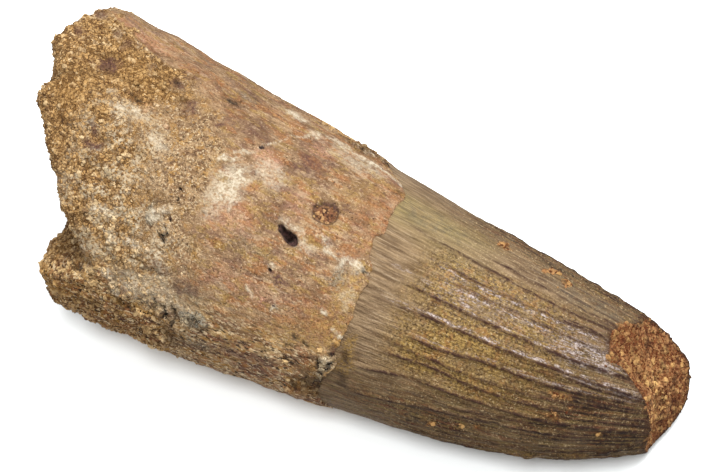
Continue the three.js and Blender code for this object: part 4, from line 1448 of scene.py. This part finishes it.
def add(tree: NodeTree, kind: str, settings: dict | None = None, links: dict | None = None) -> Node:
    """Adds a node.

    Args:
        tree: The node tree.
        kind: The node's type.
        settings: As for adjust.
        links: Input socket to the output socket that feeds it.

    Returns:
        The new node.
    """
    node = tree.nodes.new(kind)
    adjust(node, settings or {})
    for name, source in (links or {}).items():
        tree.links.new(source, node.inputs[name])
    return node


def paint(code: str) -> tuple:
    """An sRGB hex colour as linear red, green, blue and alpha.

    Args:
        code: Six hex digits.

    Returns:
        Four numbers from 0 to 1.
    """
    channels = [int(code[k : k + 2], 16) / 255 for k in (0, 2, 4)]
    linear = [c / 12.92 if c <= 0.04045 else ((c + 0.055) / 1.055) ** 2.4 for c in channels]
    return (*linear, 1.0)


class Kind(Enum):
    """The patterns that a finish can show."""

    CLOUDS = "lumps as long as they are wide"
    STREAKS = "lumps drawn out along the tooth"
    GRAINS = "packed cells, each with its own tone"
    SEAMS = "the seams between packed cells"


CLOUDS, STREAKS, GRAINS, SEAMS = Kind

# Real wrinkles of enamel, freckles, pores of bone and pocks of sand are 0.02 to 0.1 mm wide. The finest
# patterns here are 0.12 to 0.3 mm wide, as coarse as they need to be to show.


@dataclass(frozen=True)
class Pattern:
    """An uneven pattern, graded to a number from 0 to 1."""

    kind: Kind  # What it looks like.
    size: float  # Width of its lumps, streaks or cells, in millimetres.
    low: float = 0.38  # The level of the pattern that gives 0.
    high: float = 0.62  # The level that gives 1.
    shift: float = 0.0  # Moves it, so that two patterns of one size differ.
    faint: float = 0.0  # What the low level gives instead of 0.
    stretch: float = 10.0  # A streak's length as a multiple of its width.

    def draw(self, tree: NodeTree) -> NodeSocket:
        """Adds the pattern's nodes.

        Args:
            tree: The material's node tree.

        Returns:
            The number that the pattern gives at each point.
        """
        place = add(tree, "ShaderNodeTexCoord").outputs["Object"]
        scale = (1 / MM, 1 / MM, 1 / MM)
        if self.kind is STREAKS:
            place = add(tree, "ShaderNodeAttribute", {"attribute_name": "lay"}).outputs["Vector"]
            scale = (1 / self.stretch, 1, 1)
        moved = add(tree, "ShaderNodeVectorMath",
                    {"operation": "MULTIPLY_ADD", 1: scale, 2: (self.shift, 0, 0)}, {0: place})
        where = {"Vector": moved.outputs[0]}
        if self.kind is GRAINS:
            value = add(tree, "ShaderNodeTexVoronoi", {"Scale": 1 / self.size}, where).outputs["Color"]
        elif self.kind is SEAMS:
            value = add(tree, "ShaderNodeTexVoronoi",
                        {"feature": "DISTANCE_TO_EDGE", "Scale": 1 / self.size}, where).outputs["Distance"]
        else:
            value = add(tree, "ShaderNodeTexNoise",
                        {"Scale": 1 / self.size, "Detail": 3.0, "Roughness": 0.6}, where).outputs["Fac"]
        return add(tree, "ShaderNodeMapRange",
                   {"From Min": self.low, "From Max": self.high, "To Min": self.faint},
                   {"Value": value}).outputs[0]


@dataclass(frozen=True)
class Held:
    """A number that the skin holds at each point, graded from 0 to 1."""

    name: str  # The attribute's name.
    low: float = 0.0  # The number that gives 0.
    high: float = 1.0  # The number that gives 1.

    def draw(self, tree: NodeTree) -> NodeSocket:
        """Adds the nodes that read it.

        Args:
            tree: The material's node tree.

        Returns:
            The graded number.
        """
        value = add(tree, "ShaderNodeAttribute", {"attribute_name": self.name}).outputs["Fac"]
        return add(tree, "ShaderNodeMapRange", {"From Min": self.low, "From Max": self.high},
                   {"Value": value}).outputs[0]


@dataclass(frozen=True)
class Coat:
    """A colour laid over what is there."""

    tones: str  # One sRGB hex colour, or two that the mottle mixes.
    strength: float = 1.0  # How much of it shows at most.
    masks: tuple = ()  # Held numbers and patterns that say together where it shows.
    mottle: Pattern | Held | None = None  # What mixes the tones.

    def over(self, tree: NodeTree, under: NodeSocket | None) -> NodeSocket:
        """Lays the coat over a colour.

        Args:
            tree: The material's node tree.
            under: The colour below, or None under the first coat.

        Returns:
            The colour with the coat on it.
        """
        tones = self.tones.split()
        blend = {"data_type": "RGBA", 6: paint(tones[0]), 7: paint(tones[-1])}
        if self.mottle:
            own = add(tree, "ShaderNodeMix", blend, {0: self.mottle.draw(tree)}).outputs[2]
        if under is None:
            return own
        shown = add(tree, "ShaderNodeMath", {"operation": "MULTIPLY", 1: self.strength},
                    {0: self.masks[0].draw(tree)}).outputs[0]
        for mask in self.masks[1:]:
            shown = add(tree, "ShaderNodeMath", {"operation": "MULTIPLY"},
                        {0: shown, 1: mask.draw(tree)}).outputs[0]
        links = {0: shown, 6: under} | ({7: own} if self.mottle else {})
        return add(tree, "ShaderNodeMix", blend, links).outputs[2]


def only_where(held: Held, *coats: Coat) -> tuple:
    """The coats, each shown only where a held number says."""
    return tuple(replace(coat, masks=(held, *coat.masks)) for coat in coats)


@dataclass(frozen=True)
class Finish:
    """A mineral surface, laid up from coats of colour."""

    name: str  # The material's name.
    coats: tuple  # From the bottom one, which covers everything, to the top one.
    relief: tuple  # Patterns too fine for the mesh, and how deep each is in millimetres.
    roughness: float  # Its roughness.
    polish: tuple | None = None  # The held number where it is smoother, and the roughness there.
    specular: float = 0.3  # Strength of its highlights; 0.5 is a plain mineral.
    highlight: str = "ffffff"  # Colour of its highlights.

    def build(self) -> Material:
        """Makes the material.

        Returns:
            The new material.
        """
        material = bpy.data.materials.new(self.name)
        material.use_nodes = True
        tree = material.node_tree
        shader = tree.nodes["Principled BSDF"]
        colour = None
        for coat in self.coats:
            colour = coat.over(tree, colour)
        tree.links.new(colour, shader.inputs["Base Color"])
        adjust(shader, {"Roughness": self.roughness, "Specular IOR Level": self.specular,
                        "Specular Tint": paint(self.highlight)})
        if self.polish:
            where, smooth = self.polish
            graded = add(tree, "ShaderNodeMapRange", {"To Min": self.roughness, "To Max": smooth},
                         {"Value": where.draw(tree)})
            tree.links.new(graded.outputs[0], shader.inputs["Roughness"])
        height = None
        for pattern, depth in self.relief:
            links = {0: pattern.draw(tree)} | ({2: height} if height else {})
            height = add(tree, "ShaderNodeMath",
                         {"operation": "MULTIPLY_ADD", 1: depth, 2: 0.0}, links).outputs[0]
        bump = add(tree, "ShaderNodeBump", {"Strength": 1.0, "Distance": MM}, {"Height": height})
        tree.links.new(bump.outputs[0], shader.inputs["Normal"])
        return material


@dataclass(frozen=True)
class FossilEnamel(Finish):
    """Tooth enamel turned to dark phosphate, under a thin golden patina.

    The patina is matt and freckled, and follows the streaks in which the enamel grew. On the flanks of
    the ribs it has worn off; the bare enamel there is glossier, and its lilac sheen is a painted highlight.
    """

    name: str = "fossil enamel"
    coats: tuple = (
        # Brown enamel, streaked along the tooth.
        Coat("6a553e 937b5d", 1, (), Pattern(STREAKS, 0.5, stretch=6)),
        Coat("47331f", 0.5, (Pattern(STREAKS, 0.26, 0.48, 0.62, stretch=16),)),
        Coat("b7a184", 0.45, (Pattern(STREAKS, 0.22, 0.54, 0.66, 5, stretch=14),)),
        # Golden patina.
        *only_where(Held("patina"),
            Coat("664e28 a38549", 0.9, (), Pattern(CLOUDS, 0.3, 0.4, 0.6, 3)),
            Coat("4f3a1d", 0.75, (Pattern(STREAKS, 0.22, 0.5, 0.62, 7, stretch=14),)),
            Coat("97683a", 0.4, (Pattern(CLOUDS, 1, 0.52, 0.6, 69),)),
        ),
        # Olive patina high on the flank.
        Coat("6b5d3b 9c895c", 0.8, (Held("olive"),), Pattern(STREAKS, 0.26, shift=2, stretch=9)),
        # Dark far side and tip, and painted shade on the low side.
        *only_where(Held("dusk"),
            Coat("2e200d 705631", 0.9, (), Pattern(STREAKS, 0.26, 0.42, 0.6, 3, stretch=9)),
            Coat("5f3d20", 0.55, (Pattern(CLOUDS, 0.8, 0.52, 0.6, 14),)),
            Coat("84703f", 0.55, (Pattern(STREAKS, 0.5, 0.53, 0.6, 63, stretch=5),)),
            Coat("673422", 0.55, (Pattern(STREAKS, 0.45, 0.55, 0.61, 64, stretch=5),)),
            Coat("0e0906", 0.7, (Pattern(STREAKS, 0.4, 0.54, 0.6, 65, stretch=6),)),
            Coat("94764c", 0.65, (Pattern(CLOUDS, 0.27, 0.57, 0.64, 61),)),
            Coat("140d06", 0.75, (Pattern(CLOUDS, 0.27, 0.55, 0.62, 62),)),
        ),
        # Fine pale grit, and dark freckles that lie in drifts.
        Coat("c9b188", 0.5, (Held("station", 6, 14), Pattern(CLOUDS, 0.24, 0.58, 0.66, 19))),
        Coat("35220f", 0.75,
             (Held("patina", -0.05, 0.6),
              Pattern(CLOUDS, 0.26, 0.51, 0.6, 9),
              Pattern(CLOUDS, 1, 0.36, 0.54, 2, 0.4))),
        # Bare enamel beside the ribs, painted pale lilac as a highlight.
        Coat("655753 cfc1be", 1, (Held("bare"), Pattern(STREAKS, 0.2, 0.42, 0.54, 11, stretch=5)),
             Pattern(CLOUDS, 0.24, 0.42, 0.6, 0.5)),
        # The ribs' lines, purplish brown, and black where the tip is dark.
        *only_where(Held("rib"),
            Coat("37201b", 0.92, (Pattern(CLOUDS, 0.4, 0.34, 0.5, 0.9, 0.3),)),
            Coat("120d0a", 0.8, (Held("dusk", 0.35, 0.9), Pattern(CLOUDS, 0.5, 0.36, 0.56, faint=0.3))),
        ),
        # The broken edge.
        Coat("40281a", 0.9, (Held("rim", 0.85, 1), Pattern(CLOUDS, 0.4, 0.4, 0.6, 1, 0.2))),
        # Grey bloom, a purple crack, and brown crumbs of sandstone.
        Coat("4a473e 6f6858", 1, (Held("grey"), Pattern(CLOUDS, 0.7)), Pattern(CLOUDS, 0.25)),
        Coat("3a211a", 1, (Held("mauve"), Pattern(CLOUDS, 0.25, shift=0.5))),
        Coat("55361c 8c683c", 1, (Held("rust", 0.2, 0.8), Pattern(CLOUDS, 0.4, 0.38, 0.5, 4, 0.3)),
             Pattern(GRAINS, 0.3, 0.3, 0.7)),
        Coat("6b5128 a08048", 1, (Held("gold"), Pattern(CLOUDS, 0.3, 0.42, 0.55, 5)),
             Pattern(CLOUDS, 0.25, shift=8)),
        Coat("2c1c10", 1, (Held("brown"),)),
    )
    relief: tuple = (
        (Pattern(CLOUDS, 0.25, 0.3, 0.7, 9), -0.09),
        (Pattern(STREAKS, 0.2, 0.3, 0.7, stretch=10), 0.07),
    )
    roughness: float = 0.6
    polish: tuple = (Held("bare"), 0.36)
    specular: float = 0.13
    highlight: str = "f9f5ff"


@dataclass(frozen=True)
class RootStone(Finish):
    """Fossil root bone, matt and mottled, with iron-stained sandstone cemented on its end.

    Between the two lies a speckled crust of finer sand and white carbonate. Every stain has its own colour.
    """

    name: str = "root bone and sandstone"
    coats: tuple = (
        # Tan bone, mottled finely and streaked along the tooth.
        Coat("785c42 a38563", 1, (), Pattern(CLOUDS, 2.4)),
        Coat("84502a ac7848", 0.65, (Pattern(STREAKS, 1.1, 0.51, 0.58, 31, stretch=2.6),),
             Pattern(CLOUDS, 0.3, shift=35)),
        Coat("7c5f30 ab8c50", 0.65, (Pattern(STREAKS, 0.9, 0.53, 0.59, 32, stretch=2.6),),
             Pattern(CLOUDS, 0.3, shift=36)),
        Coat("563c32 7f5d4d", 0.6, (Pattern(STREAKS, 0.8, 0.55, 0.61, 33, stretch=2.6),),
             Pattern(CLOUDS, 0.3, shift=37)),
        Coat("cbb08f", 0.35, (Pattern(STREAKS, 0.7, 0.57, 0.63, 34, stretch=3),)),
        Coat("62442a", 0.5, (Pattern(CLOUDS, 0.28, 0.52, 0.62, 0.4),)),
        Coat("d8bb98", 0.5, (Pattern(CLOUDS, 0.26, 0.57, 0.66, 6),)),
        Coat("5a3f25", 0.55, (Held("angle", 25, -15), Pattern(STREAKS, 0.26, 0.52, 0.64, stretch=8))),
        # Stains that lie in the bone.
        Coat("85652f b8965a", 0.85, (Held("gold"), Pattern(CLOUDS, 0.4, 0.4, 0.56, 0.8, 0.2)),
             Pattern(CLOUDS, 0.26, shift=21)),
        Coat("76472b a87751", 0.85, (Held("rust"), Pattern(CLOUDS, 0.6, 0.42, 0.54, 1.8, 0.2)),
             Pattern(CLOUDS, 0.26, shift=22)),
        Coat("a06e52 d1a286", 0.85, (Held("pink"), Pattern(CLOUDS, 0.4, 0.4, 0.56, 2.8, 0.2)),
             Pattern(CLOUDS, 0.26, shift=23)),
        Coat("40291a", 0.85,
             (Pattern(CLOUDS, 0.24, 0.58, 0.65, 3), Pattern(CLOUDS, 1.3, 0.4, 0.58, 8, 0.15))),
        # The speckled crust.
        *only_where(Held("crust"),
            Coat("785d40 a98c68", 0.85, (), Pattern(CLOUDS, 0.5, 0.4, 0.6, 5)),
            Coat("8a632b b88d4e", 0.6, (Pattern(CLOUDS, 1.1, 0.52, 0.6, 51),),
                 Pattern(CLOUDS, 0.3, shift=38)),
            Coat("4f3120", 0.6, (Pattern(CLOUDS, 0.7, 0.55, 0.61, 52),)),
            Coat("3b2716", 0.8, (Pattern(CLOUDS, 0.26, 0.55, 0.62, 13),)),
            Coat("d9c29c", 0.7, (Pattern(CLOUDS, 0.24, 0.57, 0.64, 16),)),
        ),
        # Sandstone between the grains.
        *only_where(Held("sand"),
            Coat("6d4e28 b38c58", 1, (), Pattern(GRAINS, 0.34, 0.3, 0.7)),
            Coat("462e16", 1, (Pattern(SEAMS, 0.34, 0.12, 0.02),)),
        ),
        # The low side: painted paler as light from below, with gold and purple-brown streaks.
        *only_where(Held("under"),
            # Painted light: the low side made paler up to about 90 degrees round.
            Coat("d3ae7b", 0.35, (Held("angle", 94, 76),)),
            Coat("54342c", 0.7, (Pattern(STREAKS, 1, 0.51, 0.57, 66, stretch=4),)),
            Coat("a87c3a", 0.55, (Pattern(STREAKS, 0.9, 0.53, 0.59, 67, stretch=4),)),
            Coat("8d5530", 0.5, (Pattern(CLOUDS, 1.2, 0.54, 0.6, 68),)),
            # Fine pale and black streaks, painted light on grains and painted shade in dark hollows.
            Coat("e2caa2", 0.75, (Pattern(STREAKS, 0.26, 0.54, 0.6, 53, stretch=2.2),)),
            Coat("20130a", 0.9, (Pattern(STREAKS, 0.28, 0.55, 0.6, 54, stretch=2.6),)),
        ),
        # White powder on both.
        Coat("cfc0a4", 0.75, (Held("chalk"), Pattern(CLOUDS, 0.4, 0.44, 0.58, 7))),
        # Stains that lie over everything.
        Coat("403c35 8a8370", 0.85, (Held("grey"), Pattern(CLOUDS, 0.4, 0.4, 0.56, 3.8, 0.3)),
             Pattern(CLOUDS, 0.34, 0.44, 0.56, 24)),
        Coat("35220f 614426", 0.85, (Held("brown"), Pattern(CLOUDS, 0.4, 0.4, 0.56, 4.8, 0.2)),
             Pattern(CLOUDS, 0.2, shift=25)),
        Coat("3e2628 6b4a40", 0.9, (Held("mauve"), Pattern(CLOUDS, 0.4, 0.38, 0.54, 5.8, 0.4)),
             Pattern(CLOUDS, 0.2, shift=26)),
        Coat("a59176 d0c3ab", 1, (Held("pale"), Pattern(CLOUDS, 0.6, 0.38, 0.52, 6.8, 0.2)),
             Pattern(CLOUDS, 0.28, 0.36, 0.54, 1.4)),
        Coat("120b07", 1, (Held("dark"), Pattern(CLOUDS, 0.3, 0.36, 0.46, 9.4, 0.3))),
        Coat("b3aa96", 0.7, (Held("grey", 0.55, 0.95), Pattern(CLOUDS, 0.26, 0.54, 0.6, 71))),
        # The pits: one black inside, one filled with red-brown sand.
        Coat("150d0e 543a38", 0.95, (Held("hollow", 0.25, 0.7),), Pattern(CLOUDS, 0.4, 0.42, 0.6)),
        Coat("3a2218 7e5338", 0.95, (Held("filled"),), Pattern(CLOUDS, 0.36, 0.42, 0.58)),
    )
    relief: tuple = (
        (Pattern(CLOUDS, 0.22, 0.25, 0.75, 0.4), -0.14),
        (Pattern(CLOUDS, 0.6, 0.25, 0.75, 2.4), 0.12),
    )
    roughness: float = 0.8
    specular: float = 0.2


@dataclass(frozen=True)
class RootSand(Finish):
    """Coarse quartz sand on the root, each grain stained by iron to its own tone."""

    name: str = "root sand"
    coats: tuple = (
        Coat("8f6a3f c2a06f", 1, (), Held("tone", 0.1, 0.9)),
        Coat("503212", 0.65, (Held("tone", 0.2, 0.08),)),
        Coat("d8bd92", 0.8, (Held("tone", 0.88, 0.97),)),
        # Low on the side the grains differ more: pale grains are painted light and dark ones painted shade.
        *only_where(Held("under"),
            Coat("e2c08a", 0.8, (Held("tone", 0.5, 0.7), Held("angle", 104, 82))),
            Coat("8d5530", 0.5, (Pattern(CLOUDS, 1.2, 0.54, 0.6, 68),)),
            Coat("33200f", 0.8, (Held("tone", 0.4, 0.28),)),
        ),
        # The crust's grains are paler than the sandstone's.
        *only_where(Held("crust"),
            Coat("8a7353 c6b092", 0.85, (Held("sand", 1, 0.5),), Held("tone", 0.1, 0.9)),
            Coat("4a2c18", 0.7, (Pattern(CLOUDS, 0.7, 0.54, 0.59, 52),)),
        ),
        # Drifts of brown and of rust.
        Coat("70512b", 0.4, (Pattern(CLOUDS, 2, 0.44, 0.62, 0.3),)),
        Coat("52301c", 0.65, (Pattern(CLOUDS, 0.9, 0.54, 0.61, 41),)),
        Coat("a5693a", 0.5, (Held("rust"),)),
        Coat("ab7f3c", 0.5, (Held("gold"),)),
        Coat("ccbb9b", 0.75, (Held("chalk"), Pattern(CLOUDS, 0.4, 0.44, 0.58, 7, 0.1))),
        Coat("3d2812", 0.8, (Held("brown"),)),
        Coat("514b40 a0967f", 0.75, (Held("grey"),), Held("tone", 0.3, 0.8)),
        Coat("4a2f2d", 0.8, (Held("mauve"),)),
        Coat("d8c8aa", 0.85, (Held("pale"), Pattern(CLOUDS, 0.4, 0.46, 0.56, 6.8, 0.2))),
        Coat("1d150f", 0.8, (Held("dark"),)),
        Coat("6d4630 b58a5e", 0.85, (Held("filled"),), Held("tone", 0.4, 0.9)),
        Coat("4f3519", 0.6, (Pattern(CLOUDS, 0.22, 0.52, 0.62),)),
    )
    relief: tuple = ((Pattern(CLOUDS, 0.12, 0.25, 0.75), 0.05),)
    roughness: float = 0.75
    specular: float = 0.14


@dataclass(frozen=True)
class TipSand(Finish):
    """The same sand in the broken tip, redder round its edge and golden in the middle."""

    name: str = "tip sand"
    coats: tuple = (
        Coat("6d3f20 a07444", 1, (), Pattern(GRAINS, 0.34, 0.3, 0.7)),
        *only_where(Held("tone", 0, 0.02),
            Coat("7b4a28 b28658", 1, (), Held("tone", 0.2, 0.9)),
            Coat("50260f", 0.9, (Held("tone", 0.34, 0.16),)),
        ),
        Coat("cba266", 0.9, (Held("tone", 0.86, 0.96),)),
        # Redder round the edge and in patches, purple-brown hollows, and the dark line of the enamel's edge.
        Coat("643018", 0.65, (Held("rim", 0.05, 0.6), Pattern(CLOUDS, 0.8, 0.42, 0.56, 2.2, 0.3))),
        Coat("33190f", 0.75, (Held("brown"), Pattern(CLOUDS, 0.4, 0.4, 0.56, faint=0.3))),
        Coat("3f1d0c", 0.75, (Pattern(CLOUDS, 0.3, 0.53, 0.6, 1.2),)),
        Coat("9a7446", 0.5, (Held("rust", 0.1, 0.5), Held("tone", 0.5, 0.9))),
        Coat("33241a", 0.85, (Held("rim", 0.92, 1), Held("rust", 0.4, 0.1))),
    )
    relief: tuple = ((Pattern(CLOUDS, 0.12, 0.25, 0.75), 0.05),)
    roughness: float = 0.7
    specular: float = 0.14


# ---- Studio ----


@dataclass(frozen=True)
class Lamp:
    """A square soft lamp that points at the tooth."""

    name: str  # Its name.
    power: float  # Its power in watts.
    size: float  # Length of its sides.
    place: tuple  # Where it hangs.

    def build(self) -> Object:
        """Makes the lamp.

        Returns:
            Its object.
        """
        light = bpy.data.lights.new(self.name, "AREA")
        light.energy = self.power
        light.size = self.size * MM
        lamp = placed(self.name, light)
        lamp.location = Vector(self.place) * MM
        lamp.rotation_euler = (-lamp.location).to_track_quat("-Z", "Y").to_euler()
        return lamp


@dataclass(frozen=True)
class Studio:
    """The pale floor, the soft lights and the camera."""

    azimuth: float = 27.0  # The camera's turn round the tooth from -Y.
    elevation: float = 52.0  # Its height above the horizon.
    distance: float = 400.0  # How far it stands from what it looks at.
    lens: float = 187.12  # Its focal length on a sensor of sensor_width.
    sensor_width: float = 36.0  # Width of the sensor.
    aim: tuple = (-1.0, 3.192, 15.27)  # What it looks at.
    floor_size: float = 6000.0  # Length of the floor's sides.
    floor_drop: float = 0.02  # How far below the tooth the floor lies, so that the two don't touch.
    floor_tone: tuple = (0.825, 0.85, 0.855)  # How much red, green and blue light the floor returns.
    sky: float = 0.84  # Brightness of the light from all round and above.
    glow: float = 0.86  # Brightness of the light that comes back up from below.
    horizon: float = 0.15  # Half the height of the band in which one turns into the other.
    key: Lamp = Lamp("soft box", 5.0, 330.0, (90.0, 30.0, 600.0))  # The soft box overhead.
    # The lamp that lights the floor alone.
    wash: Lamp = Lamp("floor wash", 3.3, 170.0, (80.0, -277.0, 527.0))

    def build(self) -> None:
        """Makes the floor, the lights and the camera."""
        floor = self.build_floor()
        self.build_room()
        self.key.build()
        lit = bpy.data.collections.new("lit by the floor wash")
        lit.objects.link(floor)
        self.wash.build().light_linking.receiver_collection = lit
        self.build_camera()
        bpy.context.scene.view_settings.view_transform = "Standard"

    def build_floor(self) -> Object:
        """Makes the floor, a matt white card that takes the tooth's shadow and gives it no light.

        Returns:
            The floor's object.
        """
        half, under = self.floor_size * MM / 2, -self.floor_drop * MM
        mesh = bpy.data.meshes.new("floor")
        corners = [(x, y, under) for x, y in ((-half, -half), (half, -half), (half, half), (-half, half))]
        mesh.from_pydata(corners, [], [(0, 1, 2, 3)])
        floor = placed("floor", mesh)
        floor.visible_diffuse = False
        floor.visible_glossy = False
        card = bpy.data.materials.new("matt white card")
        card.use_nodes = True
        adjust(card.node_tree.nodes["Principled BSDF"],
               {"Base Color": (*self.floor_tone, 1), "Roughness": 0.9, "Specular IOR Level": 0.1})
        mesh.materials.append(card)
        return floor

    def build_room(self) -> None:
        """Makes the even light from all round."""
        world = bpy.data.worlds.new("soft room")
        world.use_nodes = True
        tree = world.node_tree
        way = add(tree, "ShaderNodeTexCoord").outputs["Generated"]
        upward = add(tree, "ShaderNodeSeparateXYZ", {}, {0: way}).outputs["Z"]
        graded = add(tree, "ShaderNodeMapRange",
                     {"From Min": -self.horizon, "From Max": self.horizon,
                      "To Min": self.glow, "To Max": self.sky}, {"Value": upward})
        background = tree.nodes["Background"]
        adjust(background, {"Color": (1, 1, 1, 1)})
        tree.links.new(graded.outputs[0], background.inputs["Strength"])
        bpy.context.scene.world = world

    def build_camera(self) -> None:
        """Makes the camera and sets it as the scene's."""
        turn, tilt = math.radians(self.azimuth), math.radians(self.elevation)
        back = Vector((math.sin(turn) * math.cos(tilt), -math.cos(turn) * math.cos(tilt), math.sin(tilt)))
        lens = bpy.data.cameras.new("camera")
        lens.lens = self.lens
        lens.sensor_width = self.sensor_width
        lens.sensor_fit = "HORIZONTAL"
        lens.clip_start = 0.01
        camera = placed("camera", lens)
        camera.location = (Vector(self.aim) + back * self.distance) * MM
        camera.rotation_euler = (-back).to_track_quat("-Z", "Y").to_euler()
        bpy.context.scene.camera = camera


def dress(piece: Object) -> None:
    """Joins a piece to the part, logs it, and lets it stand for the solid tooth.

    Args:
        piece: The finished piece.
    """
    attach(piece, BODY)
    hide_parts(NODE)
    piece.data.calc_loop_triangles()
    log.info("%s: %d triangles", piece.name, len(piece.data.loop_triangles))


def main() -> None:
    """Builds the fossil and the studio round it."""
    logging.basicConfig(level=logging.INFO, format="%(message)s")
    form = ToothForm()
    solid = PackedSolid(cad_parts[NODE], form)
    tip_sand, root_sand = TipSand().build(), RootSand().build()
    crown = Crown().build(form, FossilEnamel().build(), tip_sand)
    dress(crown)
    root = Root().build(form, solid, RootStone().build())
    dress(root)
    for bed in TIP_BEDS:
        dress(bed.build(crown, tip_sand))
    for bed in ROOT_BEDS:
        dress(bed.build(root, root_sand))
    Studio().build()


if __name__ == "__main__":
    main()
